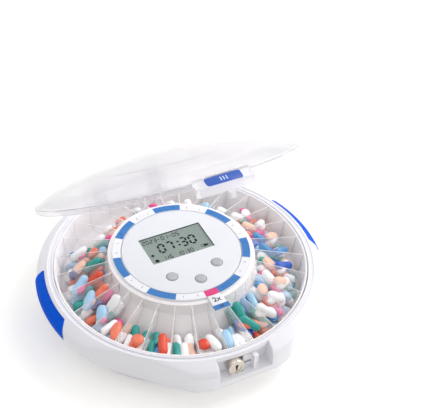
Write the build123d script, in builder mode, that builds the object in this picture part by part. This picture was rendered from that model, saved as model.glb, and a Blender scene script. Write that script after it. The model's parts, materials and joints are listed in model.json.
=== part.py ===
"""Automatic pill dispenser: a round casing with a turning tray of 29 compartments, a fixed hub with a screen and
three buttons, a clear hinged lid with a press latch, and a key lock in the front.

Millimetres, +Z up. The origin is on the surface it stands on, below the middle of the tray. The front, with the
lock, faces -Y, and the lid's hinge is at +Y. The lid is drawn shut and then turned to the open angle it rests at.
"""

import os
from math import atan2, cos, degrees, hypot, pi, radians, sin, sqrt, tan

from build123d import *

os.makedirs("parts", exist_ok=True)

# ---------------------------------------------------------------- driving sizes

# heights
FOOT_HEIGHT = 2.0            # gap under the base
BASE_FLOOR = 3.2             # thickness of the base's floor
PARTING_Z = 14.0             # seam between the two casings
EQUATOR_Z = 28.0             # widest line of the body
RIM_Z = 38.0                 # top of the rim round the tray
FACE_Z = 48.0                # top of the control face

# casing radii, each set in from the one outside it
BODY_R = 113.3
BASE_INSET = 25.3            # the underside's edge, inside the widest line
PARTING_INSET = 7.8          # the seam, inside the widest line
SHOULDER_INSET = 3.3
SHOULDER_DROP = 4.6          # how far the shoulder has fallen below the rim
LIP_INSET = 5.8              # outer edge of the rim, inside the shoulder
RIM_WIDTH = 4.6              # from the well that the tray turns in to the rim's outer edge
CASING_WALL = 2.4
WELL_WALL = 1.8
MOULD_SEAM = 0.03            # between pieces of one moulding that are kept apart
RIDGE = 1.0                  # width of the ridge inside the lid's groove
GROOVE_WIDTH = 3.0
GROOVE_DEPTH = 1.2

# blunt front: two flats that meet a front face, with a recess for the lock
FLAT_ANGLE = 43.4            # direction of each flat, from the front
FLAT_INSET = 8.7             # each flat, inside the widest line
FRONT_INSET = 2.8            # the front face, inside the widest line
CHIN_CORNER_R = 13.0
CHIN_SIDE_R = 30.0
CHIN_BLOCK = 30.5            # the front keeps its full depth down to the seam, this far behind its face
RECESS_WIDTH = 43.2
SILL_Z = 19.5                # floor of the recess
RIM_UNDERCUT_Z = 33.6        # below this the recess runs in under the rim

# floor of the well, screws and feet
WELL_FLOOR_Z = 9.0
WELL_FLOOR = 2.4
WELL_LEDGE = 3.0             # the well's floor goes on inside the rail by this much
WELL_TAPER_Z = 18.5          # below this the well narrows
WELL_TAPER = 3.8             # by this much, down to its floor
RAIL_INSET = 8.6             # rail that the tray slides on, inside the well
RAIL_WIDTH = 1.6
SCREW_COUNT = 6
SCREW_D = 2.6
SCREW_HEAD_D = 5.0
SCREW_HEAD = 1.8
SCREW_BOSS_D = 7.0
HEAD_CLEAR = 0.2             # round a sunk screw head
FOOT_INSET = 6.0             # the rubber ring it stands on, inside the underside's edge
FOOT_WIDTH = 8.0
FOOT_SUNK = 0.8

# side grips
GRIP_INSET = 3.8             # inner edge of a grip, inside the shoulder
GRIP_END = 0.86              # share of the line from the widest point down to the seam
GRIP_DEPTH = 1.2
GRIP_PROUD = 0.3
GRIP_FRONT = (79.5, 74.5)    # angle from the front at the inner and the outer edge
GRIP_REAR = (110.0, 107.0)
GRIP_CORNER_R = 2.0

# tray
SLOTS = 29
SLOT_PHASE = -5.4            # angle of the first divider from the front, towards +X
TRAY_CLEAR = 0.7             # between tray and well at the rim
TRAY_WALL = 1.6
TRAY_TOP_DROP = 0.4          # tray wall below the rim
TRAY_LIFT = 0.3              # gap above the rail
TRAY_TAPER = 3.3             # how far the outer wall leans in over its height
TRAY_FLOOR_R = 76.0          # inner edge of the flat floor
SLOPE_TOP_Z = 36.5
HUB_WALL_R = 57.4            # outer face of the tray's inner wall
HUB_WALL = 2.5
COLLAR_DEPTH = 4.8           # the collar that carries the dosage ring
DIVIDER = 1.4
DIVIDER_INNER_DROP = 0.9     # divider below the collar's top

# ring gear and motor
GEAR_MODULE = 1.0
GEAR_TEETH = 104
PINION_TEETH = 13
PRESSURE_ANGLE = 20.0
GEAR_BACKLASH = 0.24
GEAR_WIDTH = 5.4
GEAR_RIM = 2.8               # ring behind the tooth roots
GEAR_Z = 15.6
PINION_WIDTH = 5.0
MOTOR_R = 11.0
MOTOR_LENGTH = 13.0
MOTOR_OFFSET = 8.5           # the motor's shaft is off its middle
SHAFT_D = 2.0
SHAFT_FIT = 0.05             # radial running clearance of shafts and pins

# hub
HUB_R = 50.5
HUB_SHELL = 2.0
HUB_TOP_Z = 43.6
HUB_TOP = 1.8
HUB_OPENING_R = 44.5
FACE_R = 46.6
FACE_WALL = 1.6
BUTTON_X = 18.9
BUTTON_Y = -23.3
BUTTON_CENTRE_Y = -34.2
BUTTON_D = 8.8
BUTTON_HOLE_GAP = 0.3
BUTTON_PROUD = 1.1
BUTTON_FLANGE = 1.0
BUTTON_TRAVEL = 0.7
SCREEN_X = 52.6
SCREEN_Y = 29.8
SCREEN_CENTRE_Y = 9.0
SCREEN_MARGIN = 2.2          # the display is this much wider than its window
DISPLAY = 3.2
FIT_GAP = 0.1                # between pieces that seat in each other
BOARD_R = 43.5
BOARD = 1.6
BOARD_TOP_Z = 41.0

# dosage ring
RING_IN_GAP = 0.4
RING_R = 53.7
RING = 1.7
TAB_R = 68.5
TAB = 1.2
TAB_INSET = 0.9              # tab narrower than its slot, in degrees

# batteries
CELL_D = 14.4
CELL_LENGTH = 50.5
CELL_PITCH = 15.0
CELLS = 4
CELL_Y = -7.1
CELL_GAP = 0.4
HOLDER_WALL = 1.2
CONTACT_SPACE = 1.9
DOOR_TRAVEL = 8.0
DOOR = 1.0                   # thickness of the door's upper and lower layer
DOOR_TONGUE = 2.0
RUN_GAP = 0.3                # clearance between pieces that slide or turn past each other

# lid
LID_SIDE_GAP = 0.7           # between the skirt and the groove's outer side
LID_WALL = 2.0
LID_SKIRT = 3.5
LID_HEIGHT = 22.0
LID_SEAT_GAP = 0.3
DOME_INSET = 17.9            # where the dome turns down, inside the skirt
DOME_DROP = 10.9
LID_OPEN = 36.0              # rest angle
HINGE_REACH = 7.9            # the hinge's pin, outside the skirt
HINGE_Z = 31.4
HINGE_D = 3.0
KNUCKLE_D = 7.0
EAR_X = 24.5
EAR_WIDTH = 10.0
LUG_WIDTH = 6.5
POCKET_Z = 25.6              # floor of the hinge's pocket in the casing
TAB_WIDTH = 42.0             # front tab of the lid
TAB_WALL = 1.5
TAB_REACH = 7.9              # how far the tab stands out of the skirt
TAB_TOP_Z = 43.4
TAB_ROOF = 0.5               # flat part of the tab's roof, outside the skirt
TAB_RELIEF = 2.0             # the room for the casing's rim goes on beside the tab by this much
TAB_SLOPE_Z = 37.2           # where the slope meets the front
TAB_BOTTOM_Z = 31.5
PANEL_WIDTH = 27.2
PANEL_HEIGHT = 8.0
PANEL = 1.2
PANEL_SUNK = 0.2             # panel's face below the tab's slope
PANEL_GAP = 0.45
PANEL_DIP = 1.0              # room below the tab's wall for the pressed panel
LATCH_INSET = 4.5            # pin of the press latch, behind the tab's front
LATCH_Z = 36.0
LATCH_PIN_D = 1.6
LATCH_BOSS = 0.65            # wall round the pin
CRADLE = 1.2                 # plate that the panel is fixed to
CRADLE_X = 1.6               # the cradle ends this far inside the panel
HOOK_CATCH = 0.8             # how far the hook reaches into the catch

# power inlet
JACK_ANGLE = 128.0
JACK_Z = 21.5
JACK_D = 7.0
JACK_BODY = 9.0
JACK_DEPTH = 4.2

# lock
LOCK_X = -7.0
LOCK_Z = 27.3
LOCK_D = 13.4
LOCK_INSET = 2.1             # face of the lock, behind the casing's front face
LOCK_LENGTH = 6.0
PLUG_D = 8.0
TONGUE_INSET = 2.75          # middle of the tongue's layer, behind the lock's face; the hook shares it
TONGUE = 1.2
TONGUE_REACH = 9.6
TONGUE_WIDTH = 3.6
CAM_RIM = 1.0                # collar that joins the tongue to the plug
HOOK_X = 1.4
HOOK_WIDTH = 5.0
HOOK = 1.3
HOOK_BOTTOM_Z = 24.9
HOOK_FOOT = 1.5
CATCH_DEPTH = 4.0
CATCH_WIDTH = 10.8
CATCH_TOP_Z = 33.0

# values that follow from them
BASE_R = BODY_R - BASE_INSET
PARTING_R = BODY_R - PARTING_INSET
SHOULDER_R = BODY_R - SHOULDER_INSET
LIP_R = SHOULDER_R - LIP_INSET
WELL_R = LIP_R - RIM_WIDTH
FLAT_DISTANCE = BODY_R - FLAT_INSET
FRONT_Y = BODY_R - FRONT_INSET
CHIN_BLOCK_Y = FRONT_Y - CHIN_BLOCK
FOOT_R = BASE_R - FOOT_INSET
GRIP_R = SHOULDER_R - GRIP_INSET
RAIL_R = WELL_R - RAIL_INSET
WELL_FLOOR_R = RAIL_R - WELL_LEDGE
SCREW_CIRCLE_R = RAIL_R + RAIL_WIDTH / 2
LID_R = WELL_R + RIDGE + GROOVE_WIDTH - LID_SIDE_GAP
DOME_R = LID_R - DOME_INSET
HINGE_Y = LID_R + HINGE_REACH
TAB_FRONT_Y = LID_R + TAB_REACH
TAB_SLOPE_Y = LID_R + TAB_ROOF
LATCH_Y = TAB_FRONT_Y - LATCH_INSET
LOCK_FRONT_Y = FRONT_Y - LOCK_INSET
TONGUE_Y = LOCK_FRONT_Y - TONGUE_INSET
CATCH_REAR_Y = LOCK_FRONT_Y - CATCH_DEPTH
base_top_z = FOOT_HEIGHT + BASE_FLOOR
shoulder_z = RIM_Z - SHOULDER_DROP
groove_in_r = WELL_R + RIDGE
groove_out_r = groove_in_r + GROOVE_WIDTH
groove_z = RIM_Z - GROOVE_DEPTH
well_back_r = WELL_R + WELL_WALL
well_floor_top_z = WELL_FLOOR_Z + WELL_FLOOR
well_top_z = groove_z - CASING_WALL
slot_angle = 360 / SLOTS
tray_r = WELL_R - TRAY_CLEAR
tray_top_z = RIM_Z - TRAY_TOP_DROP
rail_top_z = well_floor_top_z + 1.8
tray_z = rail_top_z + TRAY_LIFT
tray_floor_z = tray_z + TRAY_WALL
wall_foot_r = tray_r - TRAY_WALL - TRAY_TAPER
ring_z = FACE_Z - RING
hub_wall_in_r = HUB_WALL_R - HUB_WALL
gear_r = GEAR_MODULE * GEAR_TEETH / 2
pinion_r = GEAR_MODULE * PINION_TEETH / 2
gear_root_r = gear_r + 1.2 * GEAR_MODULE
gear_outer_r = gear_root_r + GEAR_RIM
motor_shaft_y = gear_r - pinion_r
motor_y = motor_shaft_y - MOTOR_OFFSET
gear_top_z = GEAR_Z + GEAR_WIDTH
bracket_top_z = gear_top_z + 2.0
hub_in_r = HUB_R - HUB_SHELL
face_under_z = FACE_Z - FACE_WALL
cell_z = base_top_z + CELL_GAP + CELL_D / 2
holder_x = (CELLS - 1) * CELL_PITCH / 2 + CELL_D / 2 + CELL_GAP
holder_y = CELL_LENGTH / 2 + CONTACT_SPACE
lid_z = groove_z + LID_SEAT_GAP
lid_top_z = lid_z + LID_HEIGHT
skirt_top_z = lid_z + LID_SKIRT
lug_span = 2 * EAR_X - EAR_WIDTH - 2 * RUN_GAP
lug_outer_x = EAR_X + EAR_WIDTH / 2 + RUN_GAP
pocket_x = lug_outer_x + LUG_WIDTH
button_places = {"left": (-BUTTON_X, BUTTON_Y), "centre": (0, BUTTON_CENTRE_Y), "right": (BUTTON_X, BUTTON_Y)}
board_bosses = [(-35.0, -10.0), (35.0, -10.0), (0.0, 37.0)]
hub_bosses = [(-42.0, -4.0), (42.0, -4.0), (-30.0, 34.5), (30.0, 34.5)]
HINGE_LINE = Axis((0, HINGE_Y, HINGE_Z), (1, 0, 0))


def beside(a, b, bulge):
    """Point beside the middle of a-b, to its right, for an arc through it."""
    length = hypot(b[0] - a[0], b[1] - a[1])
    across = ((b[1] - a[1]) / length, -(b[0] - a[0]) / length)
    return ((a[0] + b[0]) / 2 + bulge * across[0], (a[1] + b[1]) / 2 + bulge * across[1])


def well_face(z):
    """Radius of the well's inner face at a height."""
    return WELL_R - WELL_TAPER * max(WELL_TAPER_Z - z, 0) / (WELL_TAPER_Z - well_floor_top_z)


def around(radius, angle):
    """Plan point at an angle from the front, positive towards +X."""
    return (radius * sin(radians(angle)), -radius * cos(radians(angle)))


# ---------------------------------------------------------------- casing outline, shared by both shells

base_edge = (BASE_R, FOOT_HEIGHT)
seam_edge = (PARTING_R, PARTING_Z)
widest = (BODY_R, EQUATOR_Z)
shoulder = (SHOULDER_R, shoulder_z)
lip = (LIP_R, RIM_Z - 0.6)

chin_across = FLAT_DISTANCE * sin(radians(FLAT_ANGLE))
chin_along = FLAT_DISTANCE * cos(radians(FLAT_ANGLE))


def flat_point(run):
    """Point on the right flat, run along it from its middle."""
    return (chin_across + run * cos(radians(FLAT_ANGLE)), -chin_along + run * sin(radians(FLAT_ANGLE)))


corner_run = (chin_along - FRONT_Y) / sin(radians(FLAT_ANGLE))
far_run = sqrt(BODY_R**2 - FLAT_DISTANCE**2) + CHIN_SIDE_R
chin_corner = flat_point(corner_run)
chin_far = flat_point(far_run)
big = 1.3 * BODY_R

with BuildSketch() as body_plan:
    Circle(BODY_R)
    with BuildLine():
        Polyline(
            chin_corner, chin_far, (big, chin_far[1]), (big, big), (-big, big), (-big, chin_far[1]),
            (-chin_far[0], chin_far[1]), (-chin_corner[0], chin_corner[1]), close=True,
        )
    make_face(mode=Mode.INTERSECT)
    front_corners = body_plan.vertices().group_by(Axis.Y)[0]
    fillet(front_corners, CHIN_CORNER_R)
    side_corners = [v for v in body_plan.vertices() if abs(hypot(v.X, v.Y) - BODY_R) < 0.01 and v.Y < -BODY_R / 4]
    fillet(side_corners, CHIN_SIDE_R)

with BuildSketch() as inner_plan:
    add(body_plan.sketch)
    offset(amount=-CASING_WALL, kind=Kind.INTERSECTION)

# the space inside the upper casing, between its skin and the well
with BuildPart() as casing_space:
    with BuildSketch(Plane.XZ):
        with BuildLine():
            b = (well_back_r, groove_z - CASING_WALL)
            c = (LIP_R, groove_z - CASING_WALL)
            d = (SHOULDER_R - CASING_WALL / 2, shoulder_z - CASING_WALL)
            e = (BODY_R - CASING_WALL, EQUATOR_Z)
            f = (PARTING_R - CASING_WALL, PARTING_Z)
            g = (PARTING_R - CASING_WALL, PARTING_Z - 1)
            Polyline(g, (well_face(PARTING_Z - 1) + WELL_WALL, PARTING_Z - 1), (well_back_r, WELL_TAPER_Z), b, c, d)
            ThreePointArc(d, beside(d, e, -0.7), e)
            ThreePointArc(e, beside(e, f, -1.4), f)
            Line(f, g)
        make_face()
    revolve(axis=Axis.Z)
    extrude(inner_plan.sketch, amount=RIM_Z, mode=Mode.INTERSECT)
    # the casing stays solid round the hinge's pocket and the lock's recess
    with BuildSketch(Plane.XY.offset(POCKET_Z - CASING_WALL)):
        Rectangle(2 * pocket_x + 2 * CASING_WALL, BODY_R, align=(Align.CENTER, Align.MIN))
    extrude(amount=RIM_Z, mode=Mode.SUBTRACT)
    with BuildSketch(Plane.XY.offset(PARTING_Z - 2)):
        Rectangle(RECESS_WIDTH + 2 * CASING_WALL, BODY_R, align=(Align.CENTER, Align.MAX))
    extrude(amount=RIM_Z, mode=Mode.SUBTRACT)

# ---------------------------------------------------------------- side grips


upper_arc = Edge.make_three_point_arc(shoulder, beside(shoulder, widest, -0.7), widest)
lower_arc = Edge.make_three_point_arc(widest, beside(widest, seam_edge, -1.4), seam_edge)


def grown(arc, share, amount):
    """Point of the casing's outline, moved out from it."""
    place = arc @ share
    along = arc % share
    return (place.X - along.Y * amount, place.Y + along.X * amount)


def grip_line(amount):
    """The outline between a grip's two edges, as its points and the middles of its arcs."""
    fall = atan2(lip[1] - shoulder[1], shoulder[0] - lip[0])
    start_z = shoulder_z + (SHOULDER_R - GRIP_R) * tan(fall)
    start = (GRIP_R + amount * sin(fall), start_z + amount * cos(fall))
    upper = [grown(upper_arc, share, amount) for share in (0, 0.5)]
    lower = [grown(lower_arc, share, amount) for share in (GRIP_END / 2, GRIP_END)]
    return start, *upper, (BODY_R + amount, EQUATOR_Z), *lower


def make_grip():
    """Right-hand grip: a band of the casing's outline between two plan lines."""
    with BuildPart() as grip:
        with BuildSketch(Plane.XZ.rotated((0, 0, -50))):
            with BuildLine():
                o = grip_line(GRIP_PROUD)
                i = grip_line(-GRIP_DEPTH)
                Line(o[0], o[1])
                ThreePointArc(o[1], o[2], o[3])
                ThreePointArc(o[3], o[4], o[5])
                Line(o[5], i[5])
                ThreePointArc(i[5], i[4], i[3])
                ThreePointArc(i[3], i[2], i[1])
                Polyline(i[1], i[0], o[0])
            make_face()
        revolve(axis=Axis.Z, revolution_arc=100)
        with BuildSketch() as reach:
            inner = GRIP_R - 0.2
            outer = BODY_R + 4
            with BuildLine():
                Line(around(inner, GRIP_FRONT[0]), around(outer, GRIP_FRONT[1]))
                RadiusArc(around(outer, GRIP_FRONT[1]), around(outer, GRIP_REAR[1]), -outer)
                Line(around(outer, GRIP_REAR[1]), around(inner, GRIP_REAR[0]))
                RadiusArc(around(inner, GRIP_REAR[0]), around(inner, GRIP_FRONT[0]), inner)
            make_face()
            fillet(reach.vertices().sort_by(lambda v: hypot(v.X, v.Y))[:2], GRIP_CORNER_R)
        extrude(amount=RIM_Z, mode=Mode.INTERSECT)
    return grip


right_grip = make_grip()
left_grip = make_grip()
left_grip.part = left_grip.part.mirror(Plane.YZ)
right_grip.part.label = "right_grip"
left_grip.part.label = "left_grip"
export_step(right_grip.part, "parts/right_grip.step")
export_step(left_grip.part, "parts/left_grip.step")

# ---------------------------------------------------------------- upper casing

jack_plane = Plane(origin=(*around(well_back_r, JACK_ANGLE), JACK_Z), x_dir=(0, 0, 1),
                   z_dir=(*around(1, JACK_ANGLE), 0))
lock_layer = TONGUE / 2 + RUN_GAP                     # half the depth that the tongue needs
SADDLE_X = 3.0                                        # the lock's saddle is this much narrower on each side

with BuildPart() as upper_casing:
    with BuildSketch(Plane.XZ):
        with BuildLine():
            Polyline((WELL_R, WELL_TAPER_Z), (well_face(PARTING_Z), PARTING_Z), seam_edge)
            ThreePointArc(seam_edge, beside(seam_edge, widest, 1.4), widest)
            ThreePointArc(widest, beside(widest, shoulder, 0.7), shoulder)
            Polyline(
                shoulder, lip, (groove_out_r, RIM_Z - 0.4), (groove_out_r, groove_z), (groove_in_r, groove_z),
                (groove_in_r, RIM_Z), (WELL_R, RIM_Z), (WELL_R, WELL_TAPER_Z),
            )
        make_face()
    revolve(axis=Axis.Z)
    with BuildSketch(Plane.XY.offset(PARTING_Z)):
        add(body_plan.sketch)
        with Locations((0, -CHIN_BLOCK_Y)):
            Rectangle(2 * BODY_R, BODY_R, align=(Align.CENTER, Align.MAX), mode=Mode.INTERSECT)
        Circle(well_back_r, mode=Mode.SUBTRACT)
    extrude(amount=EQUATOR_Z - PARTING_Z)
    extrude(body_plan.sketch, amount=RIM_Z, mode=Mode.INTERSECT)
    add(casing_space.part, mode=Mode.SUBTRACT)
    # the recess, and its undercut below the rim
    with BuildSketch(Plane.XY.offset(SILL_Z)):
        Rectangle(RECESS_WIDTH, FRONT_Y + 5, align=(Align.CENTER, Align.MAX))
        Circle(LIP_R, mode=Mode.SUBTRACT)
    extrude(amount=RIM_Z, mode=Mode.SUBTRACT)
    with BuildSketch(Plane.XY.offset(SILL_Z)):
        Rectangle(RECESS_WIDTH, FRONT_Y + 5, align=(Align.CENTER, Align.MAX))
        Circle(well_back_r, mode=Mode.SUBTRACT)
    extrude(amount=RIM_UNDERCUT_Z - SILL_Z, mode=Mode.SUBTRACT)
    # saddle that the lock barrel lies in
    with BuildSketch(Plane.XY.offset(SILL_Z)):
        with Locations((LOCK_X, -LOCK_FRONT_Y + 0.6)):
            Rectangle(LOCK_D - 2 * SADDLE_X, LOCK_FRONT_Y - well_back_r, align=(Align.CENTER, Align.MIN))
    extrude(amount=LOCK_Z - LOCK_D / 2 + 1.2 - SILL_Z)
    with BuildSketch(Plane.XZ.offset(well_back_r)):
        with Locations((LOCK_X, LOCK_Z)):
            Circle(LOCK_D / 2)
    extrude(amount=FRONT_Y - well_back_r, mode=Mode.SUBTRACT)
    # slot below the lock for its tongue
    with BuildSketch(Plane.XZ.offset(TONGUE_Y - lock_layer)):
        with Locations((LOCK_X, LOCK_Z)):
            Circle(TONGUE_REACH + RUN_GAP)
        with Locations((LOCK_X - TONGUE_WIDTH / 2 - RUN_GAP, LOCK_Z)):
            Rectangle(LOCK_D, LOCK_D, align=(Align.MIN, Align.MAX), mode=Mode.INTERSECT)
    extrude(amount=2 * lock_layer, mode=Mode.SUBTRACT)
    # pockets for the grips and the hinge
    add(right_grip.part, mode=Mode.SUBTRACT)
    add(left_grip.part, mode=Mode.SUBTRACT)
    with BuildSketch(Plane.XY.offset(POCKET_Z)):
        with Locations((0, well_back_r)):
            Rectangle(2 * pocket_x, BODY_R, align=(Align.CENTER, Align.MIN))
        Circle(LIP_R, mode=Mode.SUBTRACT)
    extrude(amount=RIM_Z, mode=Mode.SUBTRACT)
    lug_spans = [(-lug_span / 2, lug_span), (lug_outer_x, LUG_WIDTH), (-lug_outer_x - LUG_WIDTH, LUG_WIDTH)]
    for start, width in lug_spans:
        with BuildSketch(Plane.YZ.offset(start)):
            with Locations((HINGE_Y, HINGE_Z)):
                Circle(KNUCKLE_D / 2)
            with Locations((HINGE_Y, POCKET_Z - 2)):
                Rectangle(KNUCKLE_D * 0.8, HINGE_Z - POCKET_Z + 2, align=(Align.CENTER, Align.MIN))
            with Locations((HINGE_Y, HINGE_Z)):
                Circle(HINGE_D / 2, mode=Mode.SUBTRACT)
        extrude(amount=width)
    # opening for the power inlet
    with BuildSketch(jack_plane):
        Circle(JACK_D / 2)
    extrude(amount=BODY_R - well_back_r + 5, mode=Mode.SUBTRACT)
    # the well's wall is a node of its own
    with BuildSketch(Plane.XY.offset(PARTING_Z - 1)):
        Circle(well_back_r + MOULD_SEAM)
    extrude(amount=well_top_z + MOULD_SEAM - PARTING_Z + 1, mode=Mode.SUBTRACT)

# sill, cheeks and saddle of the recess, cut from the same moulding
with BuildPart() as lock_recess:
    add(upper_casing.part)
    with BuildSketch(Plane.XY.offset(PARTING_Z - 1)):
        Rectangle(RECESS_WIDTH + 2 * CASING_WALL, BODY_R, align=(Align.CENTER, Align.MAX))
    extrude(amount=RIM_UNDERCUT_Z - PARTING_Z + 1, mode=Mode.INTERSECT)
lock_recess.part.label = "lock_recess"
export_step(lock_recess.part, "parts/lock_recess.step")

with upper_casing:
    with BuildSketch(Plane.XY.offset(PARTING_Z - 1)):
        Rectangle(RECESS_WIDTH + 2 * CASING_WALL + 2 * MOULD_SEAM, BODY_R, align=(Align.CENTER, Align.MAX))
    extrude(amount=RIM_UNDERCUT_Z + MOULD_SEAM - PARTING_Z + 1, mode=Mode.SUBTRACT)
upper_casing.part.label = "upper_casing"
export_step(upper_casing.part, "parts/upper_casing.step")

# the well that the tray turns in: wall, floor and rail, moulded with the upper casing
with BuildPart() as tray_well:
    with BuildSketch(Plane.XZ):
        with BuildLine():
            Polyline(
                (WELL_FLOOR_R, WELL_FLOOR_Z), (well_face(WELL_FLOOR_Z) + WELL_WALL, WELL_FLOOR_Z),
                (well_back_r, WELL_TAPER_Z), (well_back_r, well_top_z), (WELL_R, well_top_z),
                (WELL_R, WELL_TAPER_Z), (well_face(well_floor_top_z), well_floor_top_z),
                (RAIL_R + RAIL_WIDTH, well_floor_top_z), (RAIL_R + RAIL_WIDTH, rail_top_z), (RAIL_R, rail_top_z),
                (RAIL_R, well_floor_top_z), (WELL_FLOOR_R, well_floor_top_z), close=True,
            )
        make_face()
    revolve(axis=Axis.Z)
    with BuildSketch(Plane.XY.offset(WELL_FLOOR_Z)):
        with PolarLocations(SCREW_CIRCLE_R, SCREW_COUNT, start_angle=60):
            Circle(SCREW_D / 2)
    extrude(amount=WELL_FLOOR - 0.4, mode=Mode.SUBTRACT)
tray_well.part.label = "tray_well"
export_step(tray_well.part, "parts/tray_well.step")

# ---------------------------------------------------------------- lower casing

door_low_y = CELL_Y - holder_y - HOLDER_WALL
door_high_y = CELL_Y + holder_y + HOLDER_WALL
door_length = door_high_y - door_low_y
window_x = holder_x - 0.6                     # half width of the opening under the cells
channel_top_z = FOOT_HEIGHT + 2 * DOOR + 2 * FIT_GAP + RUN_GAP
channel_step_z = FOOT_HEIGHT + DOOR - FIT_GAP

with BuildPart() as lower_casing:
    with BuildSketch(Plane.XZ):
        inner_seam = (PARTING_R - CASING_WALL, PARTING_Z)
        inner_base = (BASE_R - 1, base_top_z)
        with BuildLine():
            Polyline((0, base_top_z), (0, FOOT_HEIGHT), base_edge)
            ThreePointArc(base_edge, beside(base_edge, seam_edge, 2.0), seam_edge)
            Line(seam_edge, inner_seam)
            ThreePointArc(inner_seam, beside(inner_seam, inner_base, -1.8), inner_base)
            Line(inner_base, (0, base_top_z))
        make_face()
    revolve(axis=Axis.Z)
    extrude(body_plan.sketch, amount=PARTING_Z, mode=Mode.INTERSECT)
    with BuildSketch(Plane.XY.offset(base_top_z - 1)):
        with PolarLocations(SCREW_CIRCLE_R, SCREW_COUNT, start_angle=60):
            Circle(SCREW_BOSS_D / 2)
    extrude(amount=WELL_FLOOR_Z - base_top_z + 1)
    with BuildSketch(Plane.XY.offset(FOOT_HEIGHT - 1)):
        with PolarLocations(SCREW_CIRCLE_R, SCREW_COUNT, start_angle=60):
            Circle(SCREW_D / 2)
    extrude(amount=WELL_FLOOR_Z, mode=Mode.SUBTRACT)
    with BuildSketch(Plane.XY.offset(FOOT_HEIGHT - 1)):
        with PolarLocations(SCREW_CIRCLE_R, SCREW_COUNT, start_angle=60):
            Circle(SCREW_HEAD_D / 2 + HEAD_CLEAR)
    extrude(amount=1 + 4.2, mode=Mode.SUBTRACT)
    # hub screws, sunk from below
    with BuildSketch(Plane.XY.offset(FOOT_HEIGHT - 1)):
        with Locations(*hub_bosses):
            Circle(SCREW_D / 2)
    extrude(amount=BASE_FLOOR + 2, mode=Mode.SUBTRACT)
    with BuildSketch(Plane.XY.offset(FOOT_HEIGHT - 1)):
        with Locations(*hub_bosses):
            Circle(SCREW_HEAD_D / 2 + HEAD_CLEAR)
    extrude(amount=1 + SCREW_HEAD + HEAD_CLEAR, mode=Mode.SUBTRACT)
    # seat of the rubber ring
    with BuildSketch(Plane.XY.offset(FOOT_HEIGHT - 1)):
        Circle(FOOT_R)
        Circle(FOOT_R - FOOT_WIDTH, mode=Mode.SUBTRACT)
    extrude(amount=1 + FOOT_SUNK, mode=Mode.SUBTRACT)
    # battery opening, and the stepped channel that the door slides in
    with BuildSketch(Plane.XY.offset(FOOT_HEIGHT)):
        with Locations((0, CELL_Y)):
            Rectangle(2 * window_x, 2 * holder_y)
    extrude(amount=BASE_FLOOR, mode=Mode.SUBTRACT)
    channel_mid_y = (door_low_y + door_high_y + DOOR_TRAVEL + RUN_GAP) / 2
    channel_length = door_length + DOOR_TRAVEL + 3 * RUN_GAP
    with BuildSketch(Plane.XY.offset(FOOT_HEIGHT - 1)):
        with Locations((0, channel_mid_y)):
            Rectangle(2 * window_x + 2 * RUN_GAP, channel_length)
    extrude(amount=1 + channel_top_z - FOOT_HEIGHT, mode=Mode.SUBTRACT)
    with BuildSketch(Plane.XY.offset(channel_step_z)):
        with Locations((0, channel_mid_y)):
            Rectangle(2 * window_x + 2 * DOOR_TONGUE + 2 * RUN_GAP, channel_length)
    extrude(amount=channel_top_z - channel_step_z, mode=Mode.SUBTRACT)
lower_casing.part.label = "lower_casing"
export_step(lower_casing.part, "parts/lower_casing.step")

with BuildPart() as battery_door:
    with BuildSketch(Plane.XY.offset(FOOT_HEIGHT + FIT_GAP)):
        with Locations((0, CELL_Y)):
            Rectangle(2 * window_x, door_length)
    extrude(amount=2 * DOOR)
    with BuildSketch(Plane.XY.offset(FOOT_HEIGHT + FIT_GAP + DOOR)):
        with Locations((0, CELL_Y)):
            Rectangle(2 * window_x + 2 * DOOR_TONGUE, door_length)
    extrude(amount=DOOR)
    # ribs under the thumb
    with BuildSketch(Plane.XY.offset(FOOT_HEIGHT + FIT_GAP)):
        with GridLocations(0, 2.4, 1, 5):
            Rectangle(18, 1.0)
    extrude(amount=0.4, mode=Mode.SUBTRACT)
battery_door.part.label = "battery_door"
export_step(battery_door.part, "parts/battery_door.step")

with BuildPart() as rubber_foot:
    with BuildSketch():
        Circle(FOOT_R)
        Circle(FOOT_R - FOOT_WIDTH, mode=Mode.SUBTRACT)
    extrude(amount=FOOT_HEIGHT + FOOT_SUNK)
    fillet(rubber_foot.edges().group_by(Axis.Z)[0], 0.6)
rubber_foot.part.label = "rubber_foot"
export_step(rubber_foot.part, "parts/rubber_foot.step")

with BuildPart() as casing_screws:
    with BuildSketch(Plane.XY.offset(FOOT_HEIGHT + 4.2 - SCREW_HEAD)):
        with PolarLocations(SCREW_CIRCLE_R, SCREW_COUNT, start_angle=60):
            Circle(SCREW_HEAD_D / 2)
    extrude(amount=SCREW_HEAD)
    with BuildSketch(Plane.XY.offset(FOOT_HEIGHT + 4.2)):
        with PolarLocations(SCREW_CIRCLE_R, SCREW_COUNT, start_angle=60):
            Circle(SCREW_D / 2)
    extrude(amount=WELL_FLOOR_Z + WELL_FLOOR - 0.6 - FOOT_HEIGHT - 4.2)
casing_screws.part.label = "casing_screws"
export_step(casing_screws.part, "parts/casing_screws.step")

# ---------------------------------------------------------------- pill tray, one moulding in five nodes

wall_line = [(wall_foot_r, tray_floor_z), (tray_r - TRAY_WALL, tray_top_z)]

with BuildPart() as tray_floor:
    with BuildSketch(Plane.XY.offset(tray_z)):
        Circle(wall_foot_r)
        Circle(TRAY_FLOOR_R, mode=Mode.SUBTRACT)
    extrude(amount=TRAY_WALL)
tray_floor.part.label = "tray_floor"
export_step(tray_floor.part, "parts/tray_floor.step")

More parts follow.
